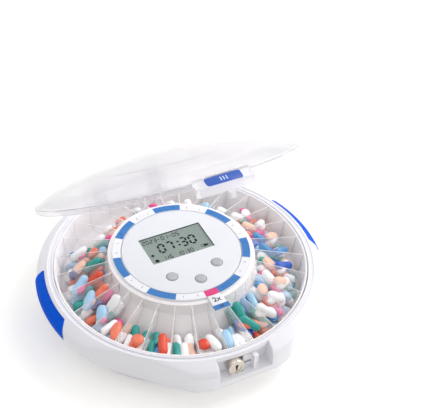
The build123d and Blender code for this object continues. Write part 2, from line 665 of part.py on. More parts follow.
with BuildPart() as tray_rim_wall:
    with BuildSketch(Plane.XZ):
        with BuildLine():
            Polyline(
                (wall_foot_r, tray_z), (wall_foot_r + TRAY_WALL, tray_z), (tray_r, tray_top_z),
                (tray_r - TRAY_WALL, tray_top_z), (wall_foot_r, tray_floor_z), close=True,
            )
        make_face()
    revolve(axis=Axis.Z)
tray_rim_wall.part.label = "tray_rim_wall"
export_step(tray_rim_wall.part, "parts/tray_rim_wall.step")

with BuildPart() as tray_slope:
    with BuildSketch(Plane.XZ):
        with BuildLine():
            Polyline(
                (TRAY_FLOOR_R, tray_z), (TRAY_FLOOR_R, tray_floor_z), (HUB_WALL_R, SLOPE_TOP_Z),
                (HUB_WALL_R, SLOPE_TOP_Z - 1.5 * TRAY_WALL), (TRAY_FLOOR_R - 1.2 * TRAY_WALL, tray_z), close=True,
            )
        make_face()
    revolve(axis=Axis.Z)
tray_slope.part.label = "tray_slope"
export_step(tray_slope.part, "parts/tray_slope.step")

with BuildPart() as tray_hub_wall:
    with BuildSketch(Plane.XZ):
        with BuildLine():
            Polyline(
                (gear_outer_r, GEAR_Z), (HUB_WALL_R, GEAR_Z), (HUB_WALL_R, ring_z - 0.8), (HUB_WALL_R - 0.8, ring_z),
                (FACE_R + 2 * RUN_GAP, ring_z), (FACE_R + 2 * RUN_GAP, HUB_TOP_Z + 2 * RUN_GAP),
                (HUB_R + RUN_GAP, HUB_TOP_Z + 2 * RUN_GAP), (HUB_R + RUN_GAP, ring_z - COLLAR_DEPTH),
                (hub_wall_in_r, ring_z - COLLAR_DEPTH), (hub_wall_in_r, gear_top_z), (gear_outer_r, gear_top_z),
                close=True,
            )
        make_face()
    revolve(axis=Axis.Z)
tray_hub_wall.part.label = "tray_hub_wall"
export_step(tray_hub_wall.part, "parts/tray_hub_wall.step")

divider_top_z = ring_z - DIVIDER_INNER_DROP

with BuildPart() as tray_dividers:
    for index in range(SLOTS):
        direction = around(1, SLOT_PHASE + index * slot_angle)
        wall_plane = Plane(origin=(0, 0, 0), x_dir=(*direction, 0), z_dir=(direction[1], -direction[0], 0))
        with BuildSketch(wall_plane):
            with BuildLine():
                Polyline(
                    (HUB_WALL_R + MOULD_SEAM, divider_top_z),
                    (tray_r - TRAY_WALL - MOULD_SEAM, tray_top_z),
                    (wall_foot_r - MOULD_SEAM, tray_floor_z + MOULD_SEAM),
                    (TRAY_FLOOR_R, tray_floor_z + MOULD_SEAM),
                    (HUB_WALL_R + MOULD_SEAM, SLOPE_TOP_Z + MOULD_SEAM),
                    close=True,
                )
            make_face()
        extrude(amount=DIVIDER / 2, both=True)
tray_dividers.part.label = "tray_dividers"
export_step(tray_dividers.part, "parts/tray_dividers.step")

# ---------------------------------------------------------------- ring gear and pinion


def involute(base, radius):
    """Angle, in radians, that an involute from the base circle has turned by at a radius."""
    roll = sqrt(max((radius / base) ** 2 - 1, 0))
    return roll - atan2(roll, 1)


def flank_angles(pitch, low, high, half_width):
    """Radii and half-angles of a tooth, from the low to the high radius; half_width is on the pitch circle."""
    base = pitch * cos(radians(PRESSURE_ANGLE))
    at_pitch = half_width / pitch + involute(base, pitch)
    radii = [low + (high - low) * step / 4 for step in range(5)]
    return [(r, at_pitch - involute(base, max(r, base))) for r in radii]


half_tooth = GEAR_MODULE * pi / 4 - GEAR_BACKLASH / 2
pinion_tip_r = pinion_r + 0.9 * GEAR_MODULE
pinion_root_r = pinion_r - 1.2 * GEAR_MODULE
gear_tip_r = gear_r - 0.9 * GEAR_MODULE

with BuildPart() as drive_pinion:
    with BuildSketch(Plane.XY.offset(GEAR_Z + 0.2)):
        with Locations((0, motor_shaft_y)):
            Circle(pinion_root_r)
            with PolarLocations(0, PINION_TEETH, start_angle=90):
                flank = flank_angles(pinion_r, pinion_root_r - 0.4, pinion_tip_r, half_tooth)
                right_side = [(r * cos(t), r * sin(t)) for r, t in flank]
                left_side = [(x, -y) for x, y in reversed(right_side)]
                Polygon(*right_side, *left_side, align=None)
            Circle(SHAFT_D / 2, mode=Mode.SUBTRACT)
    extrude(amount=PINION_WIDTH)
drive_pinion.part.label = "drive_pinion"
export_step(drive_pinion.part, "parts/drive_pinion.step")

half_space = GEAR_MODULE * pi / 4 + GEAR_BACKLASH / 2

with BuildPart() as tray_gear:
    with BuildSketch(Plane.XY.offset(GEAR_Z)):
        Circle(gear_outer_r)
        Circle(gear_tip_r, mode=Mode.SUBTRACT)
        with PolarLocations(0, GEAR_TEETH, start_angle=90):
            flank = flank_angles(gear_r, gear_tip_r - 0.4, gear_root_r, half_space)
            right_side = [(r * cos(t), r * sin(t)) for r, t in flank]
            left_side = [(x, -y) for x, y in reversed(right_side)]
            Polygon(*right_side, *left_side, align=None, mode=Mode.SUBTRACT)
    extrude(amount=GEAR_WIDTH)
tray_gear.part.label = "tray_gear"
export_step(tray_gear.part, "parts/tray_gear.step")

# ---------------------------------------------------------------- dosage ring, lying on the tray's collar

with BuildPart() as dosage_ring:
    with BuildSketch(Plane.XY.offset(ring_z)):
        Circle(RING_R)
        Circle(FACE_R + RING_IN_GAP, mode=Mode.SUBTRACT)
    extrude(amount=RING)
    tab_start = SLOT_PHASE + TAB_INSET
    tab_end = SLOT_PHASE + slot_angle - TAB_INSET / 2
    with BuildSketch(Plane.XY.offset(FACE_Z - TAB)):
        with BuildLine():
            Polyline(
                around(RING_R - 1, tab_start), around(TAB_R, tab_start), around(TAB_R, tab_end),
                around(RING_R - 1, tab_end), close=True,
            )
        make_face()
    extrude(amount=TAB)
dosage_ring.part.label = "dosage_ring"
export_step(dosage_ring.part, "parts/dosage_ring.step")

# ---------------------------------------------------------------- hub

SENSOR_WALL_X = -46.3
SENSOR_Y = 10.0
SENSOR_LENGTH = 6.0
SENSOR_DEPTH = 4.5

with BuildPart() as hub_housing:
    with BuildSketch(Plane.XZ):
        with BuildLine():
            Polyline(
                (hub_in_r, base_top_z), (HUB_R, base_top_z), (HUB_R, HUB_TOP_Z), (HUB_OPENING_R, HUB_TOP_Z),
                (HUB_OPENING_R, HUB_TOP_Z - HUB_TOP), (hub_in_r, HUB_TOP_Z - HUB_TOP), close=True,
            )
        make_face()
    revolve(axis=Axis.Z)
    with BuildSketch(Plane.XY.offset(base_top_z)):
        with Locations(*hub_bosses):
            Circle(SCREW_BOSS_D / 2)
        for place in hub_bosses:
            reach = hypot(*place)
            with Locations((place[0] * (reach + 3) / reach, place[1] * (reach + 3) / reach)):
                Circle(SCREW_BOSS_D / 2)
        Circle(HUB_R - 0.5, mode=Mode.INTERSECT)
    extrude(amount=10)
    with BuildSketch(Plane.XY.offset(base_top_z)):
        with Locations(*hub_bosses):
            Circle(SCREW_D / 2)
    extrude(amount=9, mode=Mode.SUBTRACT)
    # window that the pinion reaches the ring gear through
    with BuildSketch(Plane.XY.offset(GEAR_Z - 1)):
        with Locations((0, hub_in_r - 6)):
            Rectangle(2 * pinion_tip_r + 3, 12, align=(Align.CENTER, Align.MIN))
    extrude(amount=GEAR_WIDTH + 2, mode=Mode.SUBTRACT)
    # window of the index sensor
    with BuildSketch(Plane.XY.offset(GEAR_Z + 0.7)):
        with Locations((SENSOR_WALL_X, SENSOR_Y)):
            Rectangle(12, SENSOR_LENGTH - 1.6)
    extrude(amount=GEAR_WIDTH - 1.4, mode=Mode.SUBTRACT)
hub_housing.part.label = "hub_housing"
export_step(hub_housing.part, "parts/hub_housing.step")

with BuildPart() as hub_screws:
    with BuildSketch(Plane.XY.offset(FOOT_HEIGHT + HEAD_CLEAR)):
        with Locations(*hub_bosses):
            Circle(SCREW_HEAD_D / 2)
    extrude(amount=SCREW_HEAD)
    with BuildSketch(Plane.XY.offset(FOOT_HEIGHT + HEAD_CLEAR + SCREW_HEAD)):
        with Locations(*hub_bosses):
            Circle(SCREW_D / 2)
    extrude(amount=8)
hub_screws.part.label = "hub_screws"
export_step(hub_screws.part, "parts/hub_screws.step")

with BuildPart() as index_sensor:
    with BuildSketch(Plane.XY.offset(GEAR_Z)):
        with Locations((SENSOR_WALL_X, SENSOR_Y)):
            Rectangle(SENSOR_DEPTH, SENSOR_LENGTH, align=(Align.MIN, Align.CENTER))
    extrude(amount=GEAR_WIDTH)
index_sensor.part.label = "index_sensor"
export_step(index_sensor.part, "parts/index_sensor.step")

with BuildPart() as hub_face:
    with BuildSketch(Plane.XY.offset(HUB_TOP_Z)):
        Circle(FACE_R)
    extrude(amount=FACE_Z - HUB_TOP_Z)
    fillet(hub_face.edges().group_by(Axis.Z)[-1], 0.5)
    with BuildSketch(Plane.XY.offset(HUB_TOP_Z)):
        Circle(FACE_R - FACE_WALL)
    extrude(amount=FACE_Z - FACE_WALL - HUB_TOP_Z, mode=Mode.SUBTRACT)
    with BuildSketch(Plane.XY.offset(BOARD_TOP_Z)):
        with Locations(*board_bosses):
            Circle(2.5)
    extrude(amount=face_under_z + 0.5 - BOARD_TOP_Z)
    with BuildSketch(Plane.XY.offset(BOARD_TOP_Z)):
        with Locations(*board_bosses):
            Circle(1.0)
    extrude(amount=3.5, mode=Mode.SUBTRACT)
    with BuildSketch(Plane.XY.offset(face_under_z - 1)):
        with Locations((0, SCREEN_CENTRE_Y)):
            Rectangle(SCREEN_X, SCREEN_Y)
        with Locations(*button_places.values()):
            Circle(BUTTON_D / 2 + BUTTON_HOLE_GAP)
    extrude(amount=FACE_WALL + 2, mode=Mode.SUBTRACT)
hub_face.part.label = "hub_face"
export_step(hub_face.part, "parts/hub_face.step")

with BuildPart() as lcd_window:
    with BuildSketch(Plane.XY.offset(face_under_z)):
        with Locations((0, SCREEN_CENTRE_Y)):
            Rectangle(SCREEN_X - 2 * FIT_GAP, SCREEN_Y - 2 * FIT_GAP)
    extrude(amount=FACE_WALL - FIT_GAP)
lcd_window.part.label = "lcd_window"
export_step(lcd_window.part, "parts/lcd_window.step")

with BuildPart() as lcd_display:
    with BuildSketch(Plane.XY.offset(face_under_z - FIT_GAP - DISPLAY)):
        with Locations((0, SCREEN_CENTRE_Y)):
            Rectangle(SCREEN_X + 2 * SCREEN_MARGIN, SCREEN_Y + 2 * SCREEN_MARGIN)
    extrude(amount=DISPLAY)
lcd_display.part.label = "lcd_display"
export_step(lcd_display.part, "parts/lcd_display.step")

flange_z = face_under_z - RUN_GAP - BUTTON_FLANGE
switch_top_z = flange_z - BUTTON_TRAVEL - RUN_GAP


def make_button(place):
    """Push button: a rounded cap with a flange that keeps it under the face, and a short stem."""
    with BuildPart() as button:
        with BuildSketch(Plane.XY.offset(flange_z)):
            with Locations(place):
                Circle(BUTTON_D / 2 + 1.0)
        extrude(amount=BUTTON_FLANGE)
        with BuildSketch(Plane.XY.offset(flange_z)):
            with Locations(place):
                Circle(BUTTON_D / 2)
        extrude(amount=FACE_Z + BUTTON_PROUD - flange_z)
        fillet(button.edges().group_by(Axis.Z)[-1], 0.7)
    return button


button_left = make_button(button_places["left"])
button_centre = make_button(button_places["centre"])
button_right = make_button(button_places["right"])
button_left.part.label = "button_left"
button_centre.part.label = "button_centre"
button_right.part.label = "button_right"
export_step(button_left.part, "parts/button_left.step")
export_step(button_centre.part, "parts/button_centre.step")
export_step(button_right.part, "parts/button_right.step")

with BuildPart() as key_switches:
    with BuildSketch(Plane.XY.offset(BOARD_TOP_Z)):
        with Locations(*button_places.values()):
            Rectangle(6, 6)
    extrude(amount=switch_top_z - 0.6 - BOARD_TOP_Z)
    with BuildSketch(Plane.XY.offset(switch_top_z - 0.6)):
        with Locations(*button_places.values()):
            Circle(1.7)
    extrude(amount=0.6)
key_switches.part.label = "key_switches"
export_step(key_switches.part, "parts/key_switches.step")

with BuildPart() as circuit_board:
    with BuildSketch(Plane.XY.offset(BOARD_TOP_Z - BOARD)):
        Circle(BOARD_R)
        with Locations(*board_bosses):
            Circle(1.1, mode=Mode.SUBTRACT)
    extrude(amount=BOARD)
circuit_board.part.label = "circuit_board"
export_step(circuit_board.part, "parts/circuit_board.step")

with BuildPart() as board_screws:
    with BuildSketch(Plane.XY.offset(BOARD_TOP_Z - BOARD - 1.2)):
        with Locations(*board_bosses):
            Circle(2.0)
    extrude(amount=1.2)
    with BuildSketch(Plane.XY.offset(BOARD_TOP_Z - BOARD)):
        with Locations(*board_bosses):
            Circle(1.0)
    extrude(amount=BOARD + 3)
board_screws.part.label = "board_screws"
export_step(board_screws.part, "parts/board_screws.step")

BUZZER_PLACE = (-24.0, 26.0)
RADIO_PLACE = (25.0, 22.0)
LED_PLACE = (0.0, -41.7)

with BuildPart() as buzzer:
    with BuildSketch(Plane.XY.offset(BOARD_TOP_Z - BOARD - 6.5)):
        with Locations(BUZZER_PLACE):
            Circle(6)
            Circle(1.2, mode=Mode.SUBTRACT)
    extrude(amount=6.5)
buzzer.part.label = "buzzer"
export_step(buzzer.part, "parts/buzzer.step")

with BuildPart() as wifi_module:
    with BuildSketch(Plane.XY.offset(BOARD_TOP_Z - BOARD - 0.8)):
        with Locations(RADIO_PLACE):
            Rectangle(16, 22)
    extrude(amount=0.8)
    with BuildSketch(Plane.XY.offset(BOARD_TOP_Z - BOARD - 3)):
        with Locations((RADIO_PLACE[0], RADIO_PLACE[1] - 2.5)):
            Rectangle(14, 15)
    extrude(amount=2.2)
wifi_module.part.label = "wifi_module"
export_step(wifi_module.part, "parts/wifi_module.step")

with BuildPart() as alarm_led:
    with BuildSketch(Plane.XY.offset(BOARD_TOP_Z)):
        with Locations(LED_PLACE):
            Circle(1.3)
    extrude(amount=face_under_z - FIT_GAP - BOARD_TOP_Z)
    fillet(alarm_led.edges().group_by(Axis.Z)[-1], 0.9)
alarm_led.part.label = "alarm_led"
export_step(alarm_led.part, "parts/alarm_led.step")

# ---------------------------------------------------------------- motor

BRACKET_X = 13.0
BRACKET_PLATE = 1.6
BRACKET_Y = 25.0
LEG_LENGTH = 12.0

with BuildPart() as motor_bracket:
    with BuildSketch(Plane.XY.offset(bracket_top_z - BRACKET_PLATE)):
        with Locations((0, BRACKET_Y)):
            Rectangle(2 * BRACKET_X, motor_shaft_y + 0.8 - BRACKET_Y, align=(Align.CENTER, Align.MIN))
        with Locations((0, motor_shaft_y)):
            Circle(2.6 + FIT_GAP, mode=Mode.SUBTRACT)
    extrude(amount=BRACKET_PLATE)
    with BuildSketch(Plane.XY.offset(base_top_z)):
        with Locations((-BRACKET_X, BRACKET_Y)):
            Rectangle(BRACKET_PLATE, LEG_LENGTH, align=(Align.MIN, Align.MIN))
        with Locations((BRACKET_X, BRACKET_Y)):
            Rectangle(BRACKET_PLATE, LEG_LENGTH, align=(Align.MAX, Align.MIN))
    extrude(amount=bracket_top_z - base_top_z - 0.5)
    with BuildSketch(Plane.XY.offset(base_top_z)):
        with Locations((-BRACKET_X, BRACKET_Y)):
            Rectangle(7, LEG_LENGTH, align=(Align.MAX, Align.MIN))
        with Locations((BRACKET_X, BRACKET_Y)):
            Rectangle(7, LEG_LENGTH, align=(Align.MIN, Align.MIN))
        with Locations((-BRACKET_X - 3.5, BRACKET_Y + 5), (BRACKET_X + 3.5, BRACKET_Y + 5)):
            Circle(SCREW_D / 2, mode=Mode.SUBTRACT)
    extrude(amount=BRACKET_PLATE)
motor_bracket.part.label = "motor_bracket"
export_step(motor_bracket.part, "parts/motor_bracket.step")

with BuildPart() as motor_screws:
    with BuildSketch(Plane.XY.offset(base_top_z)):
        with Locations((-BRACKET_X - 3.5, BRACKET_Y + 5), (BRACKET_X + 3.5, BRACKET_Y + 5)):
            Circle(SCREW_D / 2)
    extrude(amount=BRACKET_PLATE)
    with BuildSketch(Plane.XY.offset(base_top_z + BRACKET_PLATE)):
        with Locations((-BRACKET_X - 3.5, BRACKET_Y + 5), (BRACKET_X + 3.5, BRACKET_Y + 5)):
            Circle(SCREW_HEAD_D / 2)
    extrude(amount=SCREW_HEAD)
motor_screws.part.label = "motor_screws"
export_step(motor_screws.part, "parts/motor_screws.step")

with BuildPart() as motor:
    with BuildSketch(Plane.XY.offset(bracket_top_z)):
        with Locations((0, motor_y)):
            Circle(MOTOR_R)
    extrude(amount=MOTOR_LENGTH)
    fillet(motor.edges().group_by(Axis.Z)[-1], 0.8)
    with BuildSketch(Plane.XY.offset(bracket_top_z - BRACKET_PLATE)):
        with Locations((0, motor_shaft_y)):
            Circle(2.6)
    extrude(amount=BRACKET_PLATE)
    with BuildSketch(Plane.XY.offset(bracket_top_z - BRACKET_PLATE)):
        with Locations((0, motor_shaft_y)):
            Circle(SHAFT_D / 2 + SHAFT_FIT)
    extrude(amount=BRACKET_PLATE + 6, mode=Mode.SUBTRACT)
motor.part.label = "motor"
export_step(motor.part, "parts/motor.step")

with BuildPart() as motor_shaft:
    with BuildSketch(Plane.XY.offset(GEAR_Z - 0.3)):
        with Locations((0, motor_shaft_y)):
            Circle(SHAFT_D / 2)
    extrude(amount=bracket_top_z + 5 - GEAR_Z)
motor_shaft.part.label = "motor_shaft"
export_step(motor_shaft.part, "parts/motor_shaft.step")

# ---------------------------------------------------------------- batteries

cell_places = [((i - (CELLS - 1) / 2) * CELL_PITCH, cell_z) for i in range(CELLS)]
holder_top_z = base_top_z + CELL_D + 2 * CELL_GAP

with BuildPart() as battery_holder:
    with BuildSketch(Plane.XY.offset(base_top_z)):
        with Locations((0, CELL_Y)):
            Rectangle(2 * (holder_x + HOLDER_WALL), 2 * (holder_y + HOLDER_WALL))
    extrude(amount=holder_top_z + HOLDER_WALL - base_top_z)
    with BuildSketch(Plane.XY.offset(base_top_z)):
        with Locations((0, CELL_Y)):
            Rectangle(2 * holder_x, 2 * holder_y)
    extrude(amount=holder_top_z - base_top_z, mode=Mode.SUBTRACT)
battery_holder.part.label = "battery_holder"
export_step(battery_holder.part, "parts/battery_holder.step")

with BuildPart() as batteries:
    with BuildSketch(Plane.XZ.offset(-CELL_Y - CELL_LENGTH / 2 + 1)):
        with Locations(*cell_places):
            Circle(CELL_D / 2)
    extrude(amount=CELL_LENGTH - 1)
    with BuildSketch(Plane.XZ.offset(-CELL_Y - CELL_LENGTH / 2)):
        with Locations(*cell_places):
            Circle(2.7)
    extrude(amount=1)
batteries.part.label = "batteries"
export_step(batteries.part, "parts/batteries.step")

with BuildPart() as battery_contacts:
    with BuildSketch(Plane.XZ.offset(-CELL_Y - holder_y)):
        with Locations(*cell_places):
            Rectangle(12, 12)
    extrude(amount=0.5)
    with BuildSketch(Plane.XZ.offset(-CELL_Y + holder_y - 0.5)):
        with Locations(*cell_places):
            Rectangle(12, 12)
    extrude(amount=0.5)
    with BuildSketch(Plane.XZ.offset(-CELL_Y + CELL_LENGTH / 2 + FIT_GAP)):
        with Locations(*cell_places):
            Circle(3.4)
            Circle(2.4, mode=Mode.SUBTRACT)
    extrude(amount=CONTACT_SPACE - FIT_GAP - 0.5)
battery_contacts.part.label = "battery_contacts"
export_step(battery_contacts.part, "parts/battery_contacts.step")

with BuildPart() as power_jack:
    with BuildSketch(jack_plane.offset(FIT_GAP)):
        Rectangle(JACK_BODY, JACK_BODY)
    extrude(amount=JACK_DEPTH)
    with BuildSketch(jack_plane.offset(FIT_GAP)):
        Circle(JACK_D / 2 - FIT_GAP)
    extrude(amount=8.4)
    with BuildSketch(jack_plane.offset(3)):
        Circle(2.5)
        Circle(0.8, mode=Mode.SUBTRACT)
    extrude(amount=6, mode=Mode.SUBTRACT)
power_jack.part.label = "power_jack"
export_step(power_jack.part, "parts/power_jack.step")

# ---------------------------------------------------------------- lock and catch

barrel_rear_y = LOCK_FRONT_Y - LOCK_LENGTH
CLIP = 0.8

with BuildPart() as lock_barrel:
    with BuildSketch(Plane.XZ.offset(barrel_rear_y)):
        with Locations((LOCK_X, LOCK_Z)):
            Circle(LOCK_D / 2 - FIT_GAP)
    extrude(amount=LOCK_LENGTH)
    fillet(lock_barrel.edges().group_by(Axis.Y)[0], 0.8)
    with BuildSketch(Plane.XZ.offset(barrel_rear_y)):
        with Locations((LOCK_X, LOCK_Z)):
            Circle(PLUG_D / 2 + SHAFT_FIT)
    extrude(amount=LOCK_LENGTH, mode=Mode.SUBTRACT)
    # slot for the tongue, from straight down round to +X, and room for its collar
    with BuildSketch(Plane.XZ.offset(TONGUE_Y - lock_layer)):
        with Locations((LOCK_X, LOCK_Z)):
            Circle(PLUG_D / 2 + CAM_RIM + RUN_GAP)
        with Locations((LOCK_X, LOCK_Z)):
            Rectangle(LOCK_D, LOCK_D, align=(Align.MIN, Align.MAX))
        with Locations((LOCK_X - TONGUE_WIDTH / 2 - RUN_GAP, LOCK_Z + TONGUE_WIDTH / 2 + RUN_GAP)):
            Rectangle(LOCK_D + 4, LOCK_D + 4, align=(Align.MIN, Align.MAX))
    extrude(amount=2 * lock_layer, mode=Mode.SUBTRACT)
lock_barrel.part.label = "lock_barrel"
export_step(lock_barrel.part, "parts/lock_barrel.step")

with BuildPart() as lock_plug:
    with BuildSketch(Plane.XZ.offset(barrel_rear_y + 0.4)):
        with Locations((LOCK_X, LOCK_Z)):
            Circle(PLUG_D / 2)
    extrude(amount=LOCK_LENGTH - 0.8)
    with BuildSketch(Plane.XZ.offset(LOCK_FRONT_Y - 4)):
        with Locations((LOCK_X, LOCK_Z)):
            Rectangle(1.4, 5.4)
        with Locations((LOCK_X, LOCK_Z + 1.5)):
            Circle(1.3)
    extrude(amount=5, mode=Mode.SUBTRACT)
lock_plug.part.label = "lock_plug"
export_step(lock_plug.part, "parts/lock_plug.step")

with BuildPart() as lock_cam:
    with BuildSketch(Plane.XZ.offset(TONGUE_Y - TONGUE / 2)):
        with Locations((LOCK_X, LOCK_Z)):
            Circle(PLUG_D / 2 + CAM_RIM)
            Rectangle(TONGUE_WIDTH, TONGUE_REACH, align=(Align.CENTER, Align.MAX))
            Circle(PLUG_D / 2, mode=Mode.SUBTRACT)
    extrude(amount=TONGUE)
lock_cam.part.label = "lock_cam"
export_step(lock_cam.part, "parts/lock_cam.step")

catch_x = HOOK_X - 1.6
catch_side_x = HOOK_X + HOOK_WIDTH + 2 * RUN_GAP

with BuildPart() as latch_catch:
    with BuildSketch(Plane.XY.offset(SILL_Z)):
        with Locations((catch_x, -CATCH_REAR_Y)):
            Rectangle(CATCH_WIDTH, CATCH_REAR_Y - well_back_r - 0.8, align=(Align.MIN, Align.MIN))
        with Locations((catch_side_x, -LOCK_FRONT_Y)):
            Rectangle(catch_x + CATCH_WIDTH - catch_side_x, LOCK_FRONT_Y - CATCH_REAR_Y,
                      align=(Align.MIN, Align.MIN))
    extrude(amount=CATCH_TOP_Z - SILL_Z)
    # window that the hook's foot snaps into
    with BuildSketch(Plane.XY.offset(HOOK_BOTTOM_Z - 0.8)):
        with Locations((HOOK_X - RUN_GAP, -CATCH_REAR_Y)):
            Rectangle(HOOK_WIDTH + 2 * RUN_GAP, CATCH_REAR_Y - well_back_r, align=(Align.MIN, Align.MIN))
    extrude(amount=HOOK_FOOT + 0.8 + RUN_GAP, mode=Mode.SUBTRACT)
    # grooves on the front of the block
    with BuildSketch(Plane.XZ.offset(LOCK_FRONT_Y - 0.5)):
        with Locations(*[(catch_x + CATCH_WIDTH, SILL_Z + 3 + 2.6 * i) for i in range(4)]):
            Rectangle(3.0, 1.0)
    extrude(amount=1, mode=Mode.SUBTRACT)
latch_catch.part.label = "latch_catch"
export_step(latch_catch.part, "parts/latch_catch.step")

with BuildPart() as lock_clip:
    with BuildSketch(Plane.XZ.offset(barrel_rear_y - CLIP)):
        with Locations((LOCK_X, LOCK_Z)):
            Circle(LOCK_D / 2 - 1)
            Circle(PLUG_D / 2 - 1.5, mode=Mode.SUBTRACT)
    extrude(amount=CLIP)
lock_clip.part.label = "lock_clip"
export_step(lock_clip.part, "parts/lock_clip.step")

with BuildPart() as hinge_pin:
    with BuildSketch(Plane.YZ.offset(-pocket_x)):
        with Locations((HINGE_Y, HINGE_Z)):
            Circle(HINGE_D / 2)
    extrude(amount=2 * pocket_x)
hinge_pin.part.label = "hinge_pin"
export_step(hinge_pin.part, "parts/hinge_pin.step")

# ---------------------------------------------------------------- lid, drawn shut

slope_run = TAB_FRONT_Y - TAB_SLOPE_Y
slope_fall = TAB_TOP_Z - TAB_SLOPE_Z
slope_length = hypot(slope_run, slope_fall)
slope_out = (-slope_fall / slope_length, slope_run / slope_length)    # outward, in Y and Z
slope_along = (-slope_run / slope_length, -slope_fall / slope_length)  # down the slope
slope_mid = (-(TAB_FRONT_Y + TAB_SLOPE_Y) / 2, (TAB_TOP_Z + TAB_SLOPE_Z) / 2)
slope_plane = Plane(origin=(0, *slope_mid), x_dir=(1, 0, 0), z_dir=(0, *slope_out))
lid_lip_clear = RUN_GAP + 0.1


def under_slope(y):
    """Height of the tab's inner face below its sloping roof, at a distance in front of the middle."""
    return TAB_TOP_Z - (y - TAB_SLOPE_Y) * slope_fall / slope_run - TAB_WALL * slope_length / slope_run


def dome_line(wall):
    """Half outline of the dome from its top down to the skirt, set in by a wall."""
    top = (0, lid_top_z - wall)
    turn = (DOME_R - wall / 3, lid_top_z - DOME_DROP - wall)
    edge = (LID_R - wall - 0.8, skirt_top_z - wall / 2 + 0.8)
    flat = ThreePointArc(top, beside(top, turn, -2.68), turn)
    bend = TangentArc(turn, edge, tangent=flat % 1)
    return flat, bend, edge


with BuildPart() as lid_shell:
    with BuildSketch(Plane.XZ):
        with BuildLine():
            _, _, edge = dome_line(0)
            Polyline(edge, (LID_R, skirt_top_z), (LID_R, lid_z), (0, lid_z), (0, lid_top_z))
        make_face()
    revolve(axis=Axis.Z)
    # front tab
    with BuildSketch(Plane.YZ.offset(-TAB_WIDTH / 2)):
        with BuildLine():
            Polyline(
                (-LID_R + 6, TAB_TOP_Z), (-TAB_SLOPE_Y, TAB_TOP_Z), (-TAB_FRONT_Y, TAB_SLOPE_Z),
                (-TAB_FRONT_Y, TAB_BOTTOM_Z), (-LIP_R, TAB_BOTTOM_Z), (-LID_R + 6, lid_z), close=True,
            )
        make_face()
    extrude(amount=TAB_WIDTH)
    # hinge ears
    for middle in (-EAR_X, EAR_X):
        with BuildSketch(Plane.YZ.offset(middle - EAR_WIDTH / 2)):
            with Locations((HINGE_Y, HINGE_Z)):
                Circle(KNUCKLE_D / 2)
            with BuildLine():
                Polyline(
                    (LID_R - 6, RIM_Z + RUN_GAP), (LID_R - 6, skirt_top_z), (HINGE_Y - 1, skirt_top_z),
                    (HINGE_Y + KNUCKLE_D / 2, HINGE_Z + 3), (HINGE_Y + KNUCKLE_D / 2, HINGE_Z),
                    (HINGE_Y - KNUCKLE_D / 2, HINGE_Z), (HINGE_Y - KNUCKLE_D / 2, RIM_Z - 2),
                    (HINGE_Y - KNUCKLE_D / 2, RIM_Z + RUN_GAP), close=True,
                )
            make_face()
            with Locations((HINGE_Y, HINGE_Z)):
                Circle(HINGE_D / 2 + SHAFT_FIT, mode=Mode.SUBTRACT)
        extrude(amount=EAR_WIDTH)
    # hollow of the dome
    with BuildSketch(Plane.XZ):
        with BuildLine():
            _, _, edge = dome_line(LID_WALL)
            Polyline(
                edge, (LID_R - LID_WALL, skirt_top_z - LID_WALL / 2), (LID_R - LID_WALL, lid_z - 10),
                (0, lid_z - 10), (0, lid_top_z - LID_WALL),
            )
        make_face()
    revolve(axis=Axis.Z, mode=Mode.SUBTRACT)
    # the tab stays outside the casing's rim
    with BuildSketch(Plane.XY.offset(TAB_BOTTOM_Z - 1)):
        with Locations((0, -LID_R)):
            Rectangle(TAB_WIDTH + 2 * TAB_RELIEF, LID_R)
        Circle(LIP_R + lid_lip_clear, mode=Mode.INTERSECT)
        Circle(well_back_r - 2, mode=Mode.SUBTRACT)
    extrude(amount=lid_z - TAB_BOTTOM_Z + 1, mode=Mode.SUBTRACT)
    with BuildSketch(Plane.XY.offset(lid_z - 1)):
        with Locations((0, -LID_R)):
            Rectangle(TAB_WIDTH + 2 * TAB_RELIEF, LID_R)
        Circle(LIP_R + lid_lip_clear, mode=Mode.INTERSECT)
        Circle(LID_R, mode=Mode.SUBTRACT)
    extrude(amount=RIM_Z - lid_z + 1, mode=Mode.SUBTRACT)
    # hollow of the tab, open below
    with BuildSketch(Plane.YZ.offset(-TAB_WIDTH / 2 + TAB_WALL)):
        with BuildLine():
            hollow_rear = LID_R + 0.6
            hollow_front = TAB_FRONT_Y - TAB_WALL
            Polyline(
                (-hollow_rear, under_slope(hollow_rear)), (-hollow_front, under_slope(hollow_front)),
                (-hollow_front, TAB_BOTTOM_Z - 1), (-hollow_rear, TAB_BOTTOM_Z - 1), close=True,
            )
        make_face()
    extrude(amount=TAB_WIDTH - 2 * TAB_WALL, mode=Mode.SUBTRACT)
    # opening for the press panel
    with BuildSketch(slope_plane.offset(1)):
        Rectangle(PANEL_WIDTH + 2 * PANEL_GAP, PANEL_HEIGHT + 2 * PANEL_GAP)
    extrude(amount=-1 - TAB_WALL - PANEL_DIP, mode=Mode.SUBTRACT)
    # seat of the latch pin in the side walls
    with BuildSketch(Plane.YZ.offset(-TAB_WIDTH / 2)):
        with Locations((-LATCH_Y, LATCH_Z)):
            Circle(LATCH_PIN_D / 2)
    extrude(amount=TAB_WIDTH, mode=Mode.SUBTRACT)
lid_shell.part = lid_shell.part.rotate(HINGE_LINE, -LID_OPEN)
lid_shell.part.label = "lid_shell"
export_step(lid_shell.part, "parts/lid_shell.step")

with BuildPart() as latch_pin:
    with BuildSketch(Plane.YZ.offset(-TAB_WIDTH / 2)):
        with Locations((-LATCH_Y, LATCH_Z)):
            Circle(LATCH_PIN_D / 2)
    extrude(amount=TAB_WIDTH)
latch_pin.part = latch_pin.part.rotate(HINGE_LINE, -LID_OPEN)
latch_pin.part.label = "latch_pin"
export_step(latch_pin.part, "parts/latch_pin.step")

panel_back = slope_plane.offset(-PANEL_SUNK - PANEL)

